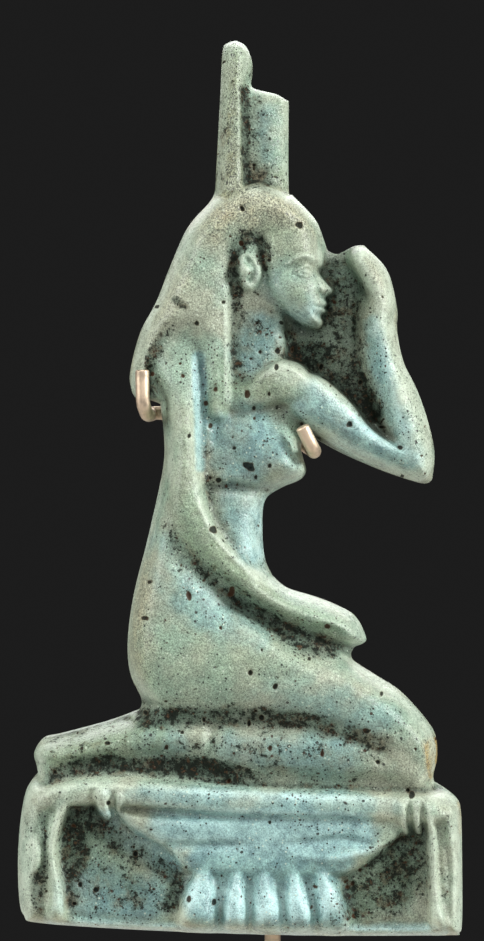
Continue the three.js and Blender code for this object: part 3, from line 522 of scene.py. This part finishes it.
class Sheet:
    """Grid of the drawing sheet on which the relief's thickness builds up."""

    def __init__(self):
        self.us = np.arange(SHEET_LOW[0], SHEET_HIGH[0], SHEET_STEP)
        self.vs = np.arange(SHEET_LOW[1], SHEET_HIGH[1], SHEET_STEP)
        self.t = np.full((len(self.vs), len(self.us)), WEB)

    def window(self, points, reach):
        """Cells round some points, and the places of those cells."""
        low = points[:, :2].min(axis=0) - reach
        high = points[:, :2].max(axis=0) + reach
        columns = slice(*np.searchsorted(self.us, (low[0], high[0])))
        rows = slice(*np.searchsorted(self.vs, (low[1], high[1])))
        u, v = np.meshgrid(self.us[columns], self.vs[rows])
        return (rows, columns), u, v

    def merge(self, cells, form, blend):
        """Highest of the relief and a new form, softly joined."""
        old = self.t[cells]
        overlap = np.maximum(blend - np.abs(old - form), 0) / blend
        self.t[cells] = np.maximum(old, form) + overlap**2 * blend / 4

    def along(self, line, u, v, scale_by_width):
        """Nearest place on a line of stations: distance there and the stations' further values."""
        best = np.full(u.shape, np.inf)
        values = np.zeros(u.shape + (line.shape[1] - 2,))
        for a, b in zip(line, line[1:]):
            step = b[:2] - a[:2]
            s = nearest_share(u, v, a, step)
            here = a[2:] + s[..., None] * (b[2:] - a[2:])
            away = np.hypot(u - a[0] - s * step[0], v - a[1] - s * step[1])
            if scale_by_width:
                away = away / here[..., 0]
            near = away < best
            best = np.where(near, away, best)
            values = np.where(near[..., None], here, values)
        return best, values

    def carve(self, form):
        """Add a form of any kind to the relief."""
        kinds = {Mass: self.mass, Limb: self.limb, Groove: self.groove, Ease: self.ease}
        kinds[type(form)](*form)

    def limb(self, stations, sink, power, blend):
        line = spline(stations, SPLINE_STEPS)
        cells, u, v = self.window(line, line[:, 2].max() + 1)
        away, values = self.along(line, u, v, True)
        dome = np.maximum(0, 1 - np.minimum(away, 1) ** power) ** (1 / power)
        skirt = SKIRT * np.maximum(0, away - 1) * values[..., 0]
        self.merge(cells, sink + (values[..., 1] - sink) * dome - skirt, blend)

    def mass(self, edge, sink, crest, rounding, blend):
        loop = spline(edge + edge[:1], SPLINE_STEPS)[:-1]
        cells, u, v = self.window(loop, 1)
        depth = loop_distance(u, v, loop)
        short = 1 - np.clip(depth / rounding, 0, 1)
        self.merge(cells, sink + (crest - sink) * np.sqrt(1 - short**2) + SKIRT * np.minimum(depth, 0), blend)

    def groove(self, points, width, depth):
        line = spline(points, SPLINE_STEPS)
        cells, u, v = self.window(line, 3 * width)
        away, values = self.along(line, u, v, False)
        self.t[cells] -= depth * values[..., 0] * np.exp(-((away / width) ** 2))

    def ease(self, patch, spread):
        share = np.clip(self.paint((patch,)), 0, 1)
        self.t += share * (soften(self.t, spread / SHEET_STEP) - self.t)

    def paint(self, patches):
        """Soft mask of patches given as stations with a strength."""
        mask = np.zeros_like(self.t)
        for stations in patches:
            line = spline(stations, SPLINE_STEPS)
            cells, u, v = self.window(line, 2 * line[:, 2].max())
            away, values = self.along(line, u, v, True)
            mask[cells] = np.maximum(mask[cells], values[..., 1] * np.clip(PATCH_FADE - away, 0, 1))
        return mask

    def noise(self, rng, size):
        """Smooth random field with features of that size and unit spread."""
        field = soften(rng.standard_normal(self.t.shape), size / SHEET_STEP)
        return field / field.std()

    def sample(self, field, u, v):
        """Values of a field at places between its cells."""
        x = np.clip((u - self.us[0]) / SHEET_STEP, 0, len(self.us) - 1.001)
        y = np.clip((v - self.vs[0]) / SHEET_STEP, 0, len(self.vs) - 1.001)
        i, j = x.astype(int), y.astype(int)
        a, b = x - i, y - j
        low = field[j, i] * (1 - a) + field[j, i + 1] * a
        high = field[j + 1, i] * (1 - a) + field[j + 1, i + 1] * a
        return low * (1 - b) + high * b


def relief_sheet():
    """Sheet with all the carved forms on it."""
    sheet = Sheet()
    for form in BASE_FORMS:
        sheet.carve(form)
    for top, foot, half in BEADS:
        stations = [(top * a + foot * b, v, half * share, crest) for a, b, v, share, crest in BEAD_PROFILE]
        sheet.limb(stations, **BEAD_SHAPE)
    for form in FRAME_FORMS:
        sheet.carve(form)
    for stations in RIBS:
        sheet.limb(stations, **RIB_SHAPE)
    for u, upper, lower in RIB_GAPS:
        sheet.groove(((u, upper, 1), (u, lower, 1)), **RIB_GAP_SHAPE)
    for form in FIGURE_FORMS:
        sheet.carve(form)
    sheet.t = soften(sheet.t, FORM_BLUR / SHEET_STEP)
    for line in FACE_LINES:
        sheet.carve(line)
    return sheet


def pit_places(sheet, settings, rng, chance):
    """The larger pits, and scattered ones where the chance is good."""
    places = list(LARGE_PITS)
    for _ in range(settings.pit_count):
        u = rng.uniform(SHEET_LOW[0], SHEET_HIGH[0])
        v = rng.uniform(SHEET_LOW[1], SHEET_HIGH[1])
        if rng.random() * PIT_RARITY < sheet.sample(chance, np.array([u]), np.array([v]))[0]:
            places.append((u, v, PIT_RADIUS + PIT_RADIUS_SPREAD * rng.random() ** 3))
    return places


def weather(sheet, settings):
    """Uneven surface and pits cut into the relief; returns the masks that the glaze is coloured by."""
    rng = np.random.default_rng(settings.seed)
    masks = {name: sheet.paint(patches) for name, patches in PATCHES.items()}
    # hollow: how far each place lies below its surroundings, used for earth, pits and a painted shade
    masks["hollow"] = soften(sheet.t, HOLLOW_REACH / SHEET_STEP) - sheet.t
    masks["crevice"] = soften(sheet.t, CREVICE_REACH / SHEET_STEP) - sheet.t
    sheet.t += sum(height * sheet.noise(rng, size) for height, size in WAVES)
    pits = np.zeros_like(sheet.t)
    ragged = np.exp(PIT_RAGGED * sheet.noise(rng, PIT_RAGGED_SIZE))
    chance = PIT_CHANCE + np.clip(masks["dirt"], 0, 1) + np.clip(masks["hollow"], 0, 1)
    for u, v, radius in pit_places(sheet, settings, rng, chance):
        cells, us, vs = sheet.window(np.array([[u, v]]), PIT_REACH * radius)
        squash = PIT_SQUASH + PIT_SQUASH_SPREAD * rng.random()
        away = np.hypot((us - u) / squash, (vs - v) * squash) * ragged[cells] / radius
        pits[cells] = np.maximum(pits[cells], np.exp(-(away**3)))
    sheet.t -= PIT_DEPTH * pits
    masks["pit"] = pits
    return masks


def cad_outline():
    """Outline of the amulet on its sheet, from the flat back of its CAD node."""
    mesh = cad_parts["isis_amulet"].data
    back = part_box("isis_amulet")[1][1]
    key = [tuple(round(c / MM, 3) for c in vertex.co) for vertex in mesh.vertices]
    edges = {}
    for face in mesh.polygons:
        corners = [key[i] for i in face.vertices]
        if all(abs(c[1] * MM - back) < 1e-5 for c in corners):
            edges.update(dict.fromkeys(zip(corners, corners[1:] + corners[:1])))
    follow = {a: b for a, b in edges if (b, a) not in edges}
    start = next(iter(follow))
    loop = [start]
    while follow[loop[-1]] != start:
        loop.append(follow[loop[-1]])
    return np.array([(x + STEM_U, z - LIFT) for x, _, z in loop])


def even_loop(loop, step):
    """Smooth closed loop with evenly spaced points, counter-clockwise."""
    closed = np.vstack([loop[-1:], loop, loop[:2]])
    smooth = spline(closed, LOOP_STEPS)[LOOP_STEPS:-LOOP_STEPS]
    area = np.sum(smooth[:-1, 0] * smooth[1:, 1] - smooth[1:, 0] * smooth[:-1, 1])
    if area < 0:
        smooth = smooth[::-1]
    run = np.concatenate([[0], np.cumsum(np.hypot(*np.diff(smooth, axis=0).T))])
    places = np.linspace(0, run[-1], int(run[-1] / step) + 1)[:-1]
    return np.column_stack([np.interp(places, run, smooth[:, k]) for k in (0, 1)])


def fill_loop(loop, inner):
    """Triangles over the inside of a loop and further points in it."""
    points = np.vstack([loop, inner])
    edges = [(i, (i + 1) % len(loop)) for i in range(len(loop))]
    verts, _, faces, origin, _, _ = delaunay_2d_cdt([Vector(p) for p in points], edges, [], 1, 1e-6)
    order = [sources[0] for sources in origin]
    if len(verts) != len(points):
        raise RuntimeError("the outline could not be filled cleanly")
    return points, [tuple(order[i] for i in face) for face in faces]


def shaken_grid(low, high, step, rng):
    """Rows of points between two corners, every other row set over by half a step, all slightly shaken."""
    points = []
    for k, v in enumerate(np.arange(low[1], high[1], step * ROW_PITCH)):
        us = np.arange(low[0] + (k % 2) * step / 2, high[0], step)
        points.append(np.column_stack([us, np.full(len(us), v)]))
    points = np.vstack(points)
    return points + rng.uniform(-SHAKE, SHAKE, points.shape) * step


def keep_inside(points, loop, clear):
    """Those points that lie inside a loop and clear of it by so much, with their distance to it."""
    depth = loop_distance(points[:, 0], points[:, 1], loop)
    keep = depth > clear
    return points[keep], depth[keep]


def front_points(loop, step, rng):
    """Points of the front, denser on the face, with their distance to the outline."""
    tangent = np.roll(loop, -1, axis=0) - np.roll(loop, 1, axis=0)
    inward = np.column_stack([-tangent[:, 1], tangent[:, 0]]) / np.hypot(*tangent.T)[:, None]
    coarse = shaken_grid(loop.min(axis=0), loop.max(axis=0), step, rng)
    in_face = np.all((coarse > FACE_LOW) & (coarse < FACE_HIGH), axis=1)
    fine = shaken_grid(FACE_LOW, FACE_HIGH, step * FACE_STEP / FRONT_STEP, rng)
    rings = [keep_inside(np.vstack([coarse[~in_face], fine]), loop, RIM_CLEAR)]
    rings += [keep_inside(loop + inward * inset, loop, RING_KEEP * inset) for inset in RIM_INSETS]
    return np.vstack([ring for ring, _ in rings]), np.concatenate([away for _, away in rings])


def set_attribute(mesh, name, values):
    """Store one value for each point of a mesh under a name."""
    mesh.attributes.new(name, "FLOAT", "POINT").data.foreach_set("value", values.astype(np.float32))


def amulet_mesh(settings):
    """Amulet mesh with its relief front, walls and flat back, and its colour masks as attributes."""
    rng = np.random.default_rng(settings.seed)
    sheet = relief_sheet()
    masks = weather(sheet, settings)
    step = FRONT_STEP * 1
    loop = even_loop(cad_outline(), step)
    inner, depth = front_points(loop, step, rng)
    depth = np.concatenate([np.zeros(len(loop)), depth])
    front, faces = fill_loop(loop, inner)
    short = 1 - np.clip(depth / EDGE_ROUND, 0, 1)
    relief = sheet.sample(sheet.t, front[:, 0], front[:, 1])
    verts = [np.column_stack([front, RIM + (relief - RIM) * np.sqrt(1 - short**2)])]
    total = len(front)
    ring = np.arange(len(loop))
    for level in WALL_LEVELS:
        verts.append(np.column_stack([loop, np.full(len(loop), level)]))
        new = np.arange(total, total + len(loop))
        faces += [(a, c, d, b) for a, b, c, d in zip(ring, np.roll(ring, -1), new, np.roll(new, -1))]
        ring = new
        total += len(loop)
    back_grid = shaken_grid(loop.min(axis=0), loop.max(axis=0), BACK_STEP, rng)
    back_inner, _ = keep_inside(back_grid, loop, BACK_CLEAR)
    _, back_faces = fill_loop(loop, back_inner)
    dents = sheet.sample(sheet.noise(rng, BACK_DENT_SIZE), back_inner[:, 0], back_inner[:, 1])
    verts.append(np.column_stack([back_inner, BACK_DENT * np.abs(dents)]))
    faces += [tuple(ring[0] + i for i in face[::-1]) for face in back_faces]
    places = np.vstack(verts)
    world = np.column_stack([places[:, 0] - STEM_U, BACK_Y - places[:, 2], places[:, 1] + LIFT]) * MM
    mesh = bpy.data.meshes.new("isis_amulet_faience")
    mesh.from_pydata(world.tolist(), [], faces)
    mesh.validate()
    behind = slice(len(front), None)
    for name, mask in masks.items():
        values = sheet.sample(mask, places[:, 0], places[:, 1])
        values[behind] = values[behind] * BACK_BLUE if name == "blue" else BACK_MASKS.get(name, 0)
        set_attribute(mesh, name, values)
    edge = np.full(len(places), BACK_EDGE)
    edge[: len(front)] = np.clip(1 - depth / EDGE_WIDTH, 0, 1)
    set_attribute(mesh, "edge", edge)
    mesh.polygons.foreach_set("use_smooth", np.ones(len(mesh.polygons), bool))
    return mesh


def mesh_from(bm, name):
    """Mesh with what a bmesh holds; the bmesh is freed."""
    mesh = bpy.data.meshes.new(name)
    bm.to_mesh(mesh)
    bm.free()
    return mesh


def tube(path, radius):
    """Mesh of a round wire along points of the sheet, with slightly rounded ends."""
    bm = bmesh.new()
    line = spline([(u - STEM_U, BACK_Y - t, v + LIFT) for u, v, t in path], WIRE_STEPS) * MM
    points = [Vector(p) for p in line]
    radius *= MM
    side = (points[1] - points[0]).normalized().orthogonal().normalized()
    rings = []
    for i, point in enumerate(points):
        ahead = (points[min(i + 1, len(points) - 1)] - points[max(i - 1, 0)]).normalized()
        side = (side - ahead * side.dot(ahead)).normalized()
        across = ahead.cross(side)
        sizes = [(0, 1)]
        if i == 0:
            sizes = [(0, WIRE_END_SIZE), (WIRE_END_LENGTH, 1)]
        if i == len(points) - 1:
            sizes = [(-WIRE_END_LENGTH, 1), (0, WIRE_END_SIZE)]
        for shift, scale in sizes:
            ring = []
            for k in range(WIRE_SIDES):
                turn = 2 * math.pi * k / WIRE_SIDES
                offset = side * math.cos(turn) + across * math.sin(turn)
                ring.append(bm.verts.new(point + ahead * shift * radius + offset * radius * scale))
            rings.append(ring)
    for low, high in zip(rings, rings[1:]):
        for k in range(WIRE_SIDES):
            after = (k + 1) % WIRE_SIDES
            bm.faces.new((low[k], low[after], high[after], high[k])).smooth = True
    bm.faces.new(rings[0][::-1])
    bm.faces.new(rings[-1])
    return mesh_from(bm, "wire")


def join_solids(name, meshes):
    """One closed mesh from overlapping closed meshes."""
    parts = [bpy.data.objects.new(name, mesh) for mesh in meshes]
    for part in parts:
        bpy.context.scene.collection.objects.link(part)
    for part in parts[1:]:
        join = parts[0].modifiers.new("join", "BOOLEAN")
        join.operation = "UNION"
        join.solver = "EXACT"
        join.object = part
    depsgraph = bpy.context.evaluated_depsgraph_get()
    joined = bpy.data.meshes.new_from_object(parts[0].evaluated_get(depsgraph))
    joined.name = name
    for part in parts:
        bpy.data.objects.remove(part)
    return joined


def linear(red, green, blue):
    """Linear colour from 0 to 255 display values."""
    values = [c / 255 for c in (red, green, blue)]
    return tuple(c / 12.92 if c <= 0.04045 else ((c + 0.055) / 1.055) ** 2.4 for c in values) + (1.0,)


class Value:
    """Output of a shader node, with arithmetic that adds further nodes."""

    def __init__(self, shader, socket):
        self.shader = shader
        self.socket = socket

    def math(self, operation, other):
        return self.shader.output(0, "ShaderNodeMath", {0: self, 1: other}, operation=operation)

    def __add__(self, other):
        return self.math("ADD", other)

    def __sub__(self, other):
        return self.math("SUBTRACT", other)

    def __mul__(self, other):
        return self.math("MULTIPLY", other)

    def least(self, other):
        return self.math("MINIMUM", other)

    def most(self, other):
        return self.math("MAXIMUM", other)

    def ramp(self, low, high, to_low=0.0, to_high=1.0):
        """Smooth step from one result at the low end to another at the high end."""
        inputs = {"Value": self, "From Min": low, "From Max": high, "To Min": to_low, "To Max": to_high}
        return self.shader.output("Result", "ShaderNodeMapRange", inputs, interpolation_type="SMOOTHSTEP")


class Shader:
    """Material with a principled shader and short ways to add nodes to it."""

    def __init__(self, name):
        self.material = bpy.data.materials.new(name)
        self.material.use_nodes = True
        self.tree = self.material.node_tree
        self.surface = self.tree.nodes["Principled BSDF"]

    def put(self, socket, value):
        if isinstance(value, Value):
            self.tree.links.new(value.socket, socket)
        else:
            socket.default_value = value

    def set(self, name, value):
        """Set or link an input of the surface."""
        self.put(self.surface.inputs[name], value)

    def node(self, kind, inputs, **settings):
        node = self.tree.nodes.new(kind)
        for name, value in settings.items():
            setattr(node, name, value)
        for key, value in inputs.items():
            self.put(node.inputs[key], value)
        return node

    def output(self, name, kind, inputs, **settings):
        return Value(self, self.node(kind, inputs, **settings).outputs[name])

    def place(self):
        return self.output("Object", "ShaderNodeTexCoord", {})

    def noise(self, size, detail=4.0, roughness=0.6):
        """Noise with features of that size in millimetres."""
        inputs = {"Vector": self.place(), "Scale": 1 / (size * MM), "Detail": detail, "Roughness": roughness}
        return self.output("Fac", "ShaderNodeTexNoise", inputs)

    def spots(self, size):
        """Scattered cells of that size in millimetres: distance to the middle and a random value."""
        place = self.place()
        waves = {"Vector": place, "Scale": SPOT_WAVES / (size * MM), "Detail": 2}
        shift = self.output("Color", "ShaderNodeTexNoise", waves)
        moved = {0: shift, 1: (SPOT_SHIFT * size * MM,) * 3, 2: place}
        place = self.output("Vector", "ShaderNodeVectorMath", moved, operation="MULTIPLY_ADD")
        cells = self.node("ShaderNodeTexVoronoi", {"Vector": place, "Scale": 1 / (size * MM)})
        colour = Value(self, cells.outputs["Color"])
        random = self.output("Red", "ShaderNodeSeparateColor", {"Color": colour})
        return Value(self, cells.outputs["Distance"]), random

    def mask(self, name):
        return self.output("Fac", "ShaderNodeAttribute", {}, attribute_name=name)

    def mix(self, factor, a, b, blend="MIX"):
        inputs = {0: factor, 6: a, 7: b}
        return self.output(2, "ShaderNodeMix", inputs, data_type="RGBA", blend_type=blend)

    def bump(self, height, strength, distance):
        """Fine unevenness of the surface, with its distance in millimetres."""
        inputs = {"Height": height, "Strength": strength, "Distance": distance * MM}
        self.set("Normal", self.output("Normal", "ShaderNodeBump", inputs))


def tint(name):
    """Linear colour of the faience's table."""
    return linear(*COLOURS[name])


class Faience(Shader):
    """Worn blue-green faience, with its colour built up in layers."""

    def __init__(self, settings):
        super().__init__("Worn faience")
        self.settings = settings
        self.cloud = self.noise(CLOUD, 3)
        self.patch = self.noise(PATCH, 5, 0.6)
        self.grain = self.noise(GRAIN, 3, 0.75)
        self.sand = self.noise(SAND, 2, 0.8)

    def layer(self, factor, colour):
        self.colour = self.mix(factor, self.colour, colour)

    def shade(self, brightness):
        self.colour = self.mix(1.0, self.colour, brightness, "MULTIPLY")

    def glaze(self):
        """Worn and blue glaze, sandy, rusty and olive places, and a fine speckle."""
        patch = self.patch
        ochre = self.mask("ochre")
        worn = tuple(self.settings.worn_colour) + (1,)
        worn = self.mix(self.cloud.ramp(0.35, 0.65), worn, tint("worn green"))
        clear = tuple(self.settings.glaze_colour) + (1,)
        clear = self.mix(patch.ramp(0.3, 0.7), clear, tint("light glaze"))
        self.blue = (self.mask("blue") + self.cloud * 0.9 - 0.45).ramp(0.1, 0.7)
        self.colour = self.mix(self.blue, worn, clear)
        self.layer((ochre * patch.ramp(0.3, 0.7, 0.3, 0.9)).least(0.85), tint("sand"))
        self.layer(ochre.ramp(0.95, 1.3, 0.0, 0.85), tint("rust"))
        self.olive = self.mask("green") * patch.ramp(0.3, 0.65, 0.45, 0.85)
        self.layer(self.olive, tint("olive"))
        rough = ochre.least(1.0) * 0.6 + self.blue * -0.15 + 0.48
        speckle = self.grain * 0.4 + self.sand * 2.0 - 1.2
        self.shade(speckle * rough * 3.2 + 1.0)
        self.shade(patch.ramp(0.3, 0.7, 0.87, 1.13))

    def wear_and_painted_light(self):
        """Hollows darkened with painted shade that also stands for grime, crests and edges worn pale, and
        painted highlights.
        """
        # painted shade: the hollows are darkened as occlusion would darken them, which also stands for
        # ingrained grime
        self.shade(self.mask("hollow").ramp(0.05, 1.1, 1.0, 0.5))
        crest = self.mask("crevice").ramp(-0.02, -0.2) + self.mask("edge") * 0.2
        # the pale patches add painted highlights along lit ridges and edges to the worn crests
        crest = crest * (self.olive * -0.9 + 1.0) + self.mask("pale")
        rub_and_highlight = self.patch.ramp(0.25, 0.7, 0.2, 0.7) + self.sand * 1.6 - 0.8
        bright = self.mix(self.blue, tint("rub_and_highlight"), tint("blue rub and highlight"))
        self.layer(crest.least(1.2) * rub_and_highlight.most(0.0), bright)

    def dirt(self):
        """A haze of soil, and dark grit in clumps where it lies thickest."""
        sunk = self.mask("hollow").ramp(0.15, 1.4) + self.mask("crevice").ramp(0.04, 0.3, 0.0, 0.5)
        self.earth = sunk * 0.3 + self.mask("dirt") * self.settings.dirt
        crumbs = self.noise(CRUMB, 6, 0.78)
        stirred = self.earth + self.patch * 1.6 - 0.8
        haze = stirred.ramp(0.15, 1.0, 0.0, 0.85)
        soil = self.mix(self.patch.ramp(0.5, 0.62), tint("green soil"), tint("brown soil"))
        lump = self.sand.ramp(0.36, 0.66, 0.5, 1.6) * crumbs.ramp(0.4, 0.6, 1.2, 0.6)
        soil = self.mix(1.0, soil, lump * self.earth.ramp(0.5, 1.3, 0.95, 0.4), "MULTIPLY")
        self.layer(haze, soil)
        dark = (stirred + crumbs * 6.0 - 3.0 + self.sand * 1.2 - 0.6).ramp(0.8, 1.15, 0.0, 0.92)
        brown = self.noise(GRIT, 4, 0.75).ramp(0.545, 0.635)
        self.layer(dark, self.mix(brown, tint("black grit"), tint("brown grit")))
        self.film = haze.most(dark)

    def specks(self):
        """Dark specks of several sizes, denser where earth lies, and a few pale dots as painted glints."""
        group = self.cloud.ramp(0.4, 0.68) * 0.17 + self.earth.least(1.0) * 0.22
        for size, reach, rarity, brown in SPECKS:
            away, random = self.spots(size)
            radius = (random + group - rarity).ramp(0.0, 0.1) * reach
            colour = self.mix(self.patch.ramp(brown, brown + 0.08), tint("black speck"), tint("brown speck"))
            self.layer((radius - away).ramp(0.0, 0.07) * 0.9, colour)
        # painted glints: pale dots that stand in for tiny highlights, fewer where earth lies
        away, random = self.spots(PAINTED_GLINT_SIZE)
        pale = random.ramp(0.9, 0.94) * away.ramp(0.34, 0.24)
        self.layer(pale * self.film.ramp(0.2, 0.7, 0.6, 0.1), tint("painted glint"))

    def pits(self):
        """Black or brown pits with a light brown rim."""
        pit = self.mask("pit")
        core = self.mix(self.cloud.ramp(0.5, 0.56), tint("black pit"), tint("brown pit"))
        core = self.mix(pit.ramp(0.4, 0.7), tint("pit rim"), core)
        self.layer(pit.ramp(0.25, 0.6, 0.0, 0.93), core)

    def finish(self):
        """Satin glaze that is matt where earth lies and in the pits."""
        matt = self.film.most(self.mask("pit").ramp(0.25, 0.6))
        satin = self.blue * -0.14 + self.grain * 0.2 + 0.23
        self.set("Base Color", self.colour)
        self.set("Specular IOR Level", matt * -0.42 + 0.5)
        self.set("Roughness", satin + matt * 0.35)
        self.bump(self.grain * 0.7 + self.sand * 0.35 + self.patch * 0.8, 0.9, 0.1)


def faience_material(settings):
    """Worn blue-green glaze, pale edges partly painted highlights, earth and painted shade in hollows,
    painted glints, dark pits.
    """
    faience = Faience(settings)
    for step in (faience.glaze, faience.wear_and_painted_light, faience.dirt, faience.specks, faience.pits, faience.finish):
        step()
    return faience.material


def metal_material(name, settings, patch_size, dullness):
    """Satin brass with an uneven tarnish in patches of that size in millimetres."""
    metal = Shader(name)
    colour = tuple(settings.colour)
    dull = tuple(c * dullness for c in colour)
    streak = metal.noise(STREAK, 3)
    tarnish = metal.noise(patch_size, 5).ramp(0.42, 0.7, 0.0, 0.8)
    metal.set("Base Color", metal.mix(tarnish, colour + (1,), dull + (1,)))
    metal.set("Metallic", 1.0)
    metal.set("Roughness", streak.ramp(0.3, 0.7, settings.roughness - 0.06, settings.roughness + 0.1))
    metal.bump(streak, 0.25, 0.03)
    return metal.material


def floor_material():
    """Plain pale floor with a faint unevenness."""
    shader = Shader("Pale floor")
    shader.set("Base Color", shader.mix(shader.noise(FLOOR_PATCH, 2).ramp(0.3, 0.7), *FLOOR_TONES))
    shader.set("Roughness", FLOOR_ROUGHNESS)
    return shader.material


def add_object(name, data):
    """New object in the scene."""
    thing = bpy.data.objects.new(name, data)
    bpy.context.scene.collection.objects.link(thing)
    return thing


def add_piece(name, mesh, material, node):
    """Object in the scene that stands for a CAD node and takes its finish from a slot."""
    piece = add_object(name, mesh)
    mesh.materials.append(material)
    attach(piece, "root")
    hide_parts(node)


def add_floor(radius):
    """Round pale floor under the object."""
    bm = bmesh.new()
    bmesh.ops.create_circle(bm, cap_ends=True, radius=radius, segments=FLOOR_SIDES)
    mesh = mesh_from(bm, "floor")
    mesh.materials.append(floor_material())
    floor = add_object("floor", mesh)


def add_lights(scene, strength):
    """Soft area lights round the amulet, all turned towards it, in dim and even surroundings."""
    aim = Vector((0, BACK_Y * MM, (VIEW_V + LIFT) * MM))
    for name, place, size, power in LIGHTS:
        data = bpy.data.lights.new(name, "AREA")
        data.size = size
        data.energy = power * strength
        lamp = add_object(name, data)
        lamp.location = Vector(place) + Vector((0, 0, aim.z))
        lamp.rotation_euler = (aim - lamp.location).to_track_quat("-Z", "Y").to_euler()
    world = bpy.data.worlds.new("Soft studio")
    world.use_nodes = True
    world.node_tree.nodes["Background"].inputs["Color"].default_value = WORLD_COLOUR
    scene.world = world


def add_camera(scene, lens):
    """Camera straight in front of the amulet, at the distance that fills the picture's height."""
    data = bpy.data.cameras.new("camera")
    data.lens = lens
    data.clip_start = CLIP_START
    away = VIEW_HEIGHT * lens / data.sensor_width
    camera = add_object("camera", data)
    camera.location = Vector((VIEW_U - STEM_U, BACK_Y - VIEW_T - away, VIEW_V + LIFT)) * MM
    camera.rotation_euler = (math.pi / 2, 0, 0)
    scene.camera = camera


class AmuletSettings(bpy.types.PropertyGroup):
    """Finish of the faience amulet."""

    seed: IntProperty(name="Seed", description="Seed of the pits and the uneven surface", default=7, min=0)
    pit_count: IntProperty(
        name="Pit tries", description="Places tried for a pit; most keep one only in hollows",
        default=1500, min=0)
    dirt: FloatProperty(
        name="Dirt", description="How much earth fills the hollows", subtype="FACTOR",
        default=0.95, min=0, max=1)
    worn_colour: FloatVectorProperty(
        name="Worn colour", description="Colour of the worn glaze", size=3, subtype="COLOR",
        default=linear(161, 168, 147)[:3])
    glaze_colour: FloatVectorProperty(
        name="Glaze colour", description="Colour of the clear blue glaze", size=3, subtype="COLOR",
        default=linear(112, 148, 149)[:3])


class MountSettings(bpy.types.PropertyGroup):
    """Finish of the display mount."""

    colour: FloatVectorProperty(
        name="Metal colour", description="Colour of the wire and foot", size=3, subtype="COLOR",
        default=linear(230, 208, 182)[:3])
    roughness: FloatProperty(
        name="Roughness", description="How satin the metal is", subtype="FACTOR",
        default=0.5, min=0.1, max=0.9)


class StageSettings(bpy.types.PropertyGroup):
    """Studio round the object."""

    light: FloatProperty(name="Light", description="Strength of the soft lights", default=1.0, min=0)
    lens: FloatProperty(
        name="Lens", description="Focal length of the camera in millimetres", default=150, min=35, max=300)
    floor: FloatProperty(
        name="Floor radius", description="Radius of the pale floor", default=0.18, min=0.05, unit="LENGTH")


class AMULET_OT_build(bpy.types.Operator):
    """Build the faience amulet"""

    bl_idname = "amulet.build"
    bl_label = "Build amulet"

    def execute(self, context):
        settings = context.scene.amulet
        mesh = amulet_mesh(settings)
        add_piece("amulet_faience", mesh, faience_material(settings), "isis_amulet")
        return {"FINISHED"}


class AMULET_OT_wire(bpy.types.Operator):
    """Build the mount's stem and hooks"""

    bl_idname = "amulet.wire"
    bl_label = "Build mount wire"

    def execute(self, context):
        stem = tube(STEM_PATH, STEM_RADIUS)
        hooks = [tube(path, HOOK_RADIUS) for path in (LEFT_HOOK_PATH, RIGHT_HOOK_PATH)]
        mesh = join_solids("mount_wire_metal", [stem] + hooks)
        settings = context.scene.amulet_mount
        material = metal_material("Satin brass wire", settings, WIRE_PATCH, WIRE_DULLNESS)
        add_piece("mount_wire_metal", mesh, material, "mount_wire")
        return {"FINISHED"}


class AMULET_OT_foot(bpy.types.Operator):
    """Build the mount's foot"""

    bl_idname = "amulet.foot"
    bl_label = "Build mount foot"

    def execute(self, context):
        low, high = (Vector(corner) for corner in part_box("mount_foot"))
        bm = bmesh.new()
        bmesh.ops.create_cube(bm, size=1)
        for vert in bm.verts:
            vert.co = (low + high) / 2 + vert.co * (high - low)
        bmesh.ops.bevel(bm, geom=bm.edges[:], offset=FOOT_BEVEL * MM, segments=FOOT_BEVEL_SEGMENTS,
                        profile=FOOT_BEVEL_PROFILE, affect="EDGES")
        mesh = mesh_from(bm, "mount_foot_metal")
        settings = context.scene.amulet_mount
        material = metal_material("Satin brass foot", settings, FOOT_PATCH, FOOT_DULLNESS)
        add_piece("mount_foot_metal", mesh, material, "mount_foot")
        return {"FINISHED"}


class AMULET_OT_stage(bpy.types.Operator):
    """Build the floor, the lights and the camera"""

    bl_idname = "amulet.stage"
    bl_label = "Build stage"

    def execute(self, context):
        scene = context.scene
        settings = scene.amulet_stage
        add_floor(settings.floor)
        add_lights(scene, settings.light)
        add_camera(scene, settings.lens)
        scene.view_settings.view_transform = "Standard"
        return {"FINISHED"}


class AMULET_PT_panel(bpy.types.Panel):
    """Sidebar panel of the amulet"""

    bl_label = "Amulet"
    bl_idname = "AMULET_PT_panel"
    bl_space_type = "VIEW_3D"
    bl_region_type = "UI"
    bl_category = "Amulet"

    def draw(self, context):
        scene = context.scene
        for settings in (scene.amulet, scene.amulet_mount, scene.amulet_stage):
            box = self.layout.box()
            for name in settings.__annotations__:
                box.prop(settings, name)
        for operator in OPERATORS:
            self.layout.operator(operator.bl_idname)


OPERATORS = (AMULET_OT_build, AMULET_OT_wire, AMULET_OT_foot, AMULET_OT_stage)
CLASSES = (AmuletSettings, MountSettings, StageSettings, *OPERATORS, AMULET_PT_panel)


def register():
    for cls in CLASSES:
        bpy.utils.register_class(cls)
    bpy.types.Scene.amulet = PointerProperty(type=AmuletSettings)
    bpy.types.Scene.amulet_mount = PointerProperty(type=MountSettings)
    bpy.types.Scene.amulet_stage = PointerProperty(type=StageSettings)


def unregister():
    del bpy.types.Scene.amulet_stage
    del bpy.types.Scene.amulet_mount
    del bpy.types.Scene.amulet
    for cls in reversed(CLASSES):
        bpy.utils.unregister_class(cls)


def main():
    register()
    bpy.ops.amulet.build()
    bpy.ops.amulet.wire()
    bpy.ops.amulet.foot()
    bpy.ops.amulet.stage()


if __name__ == "__main__":
    main()
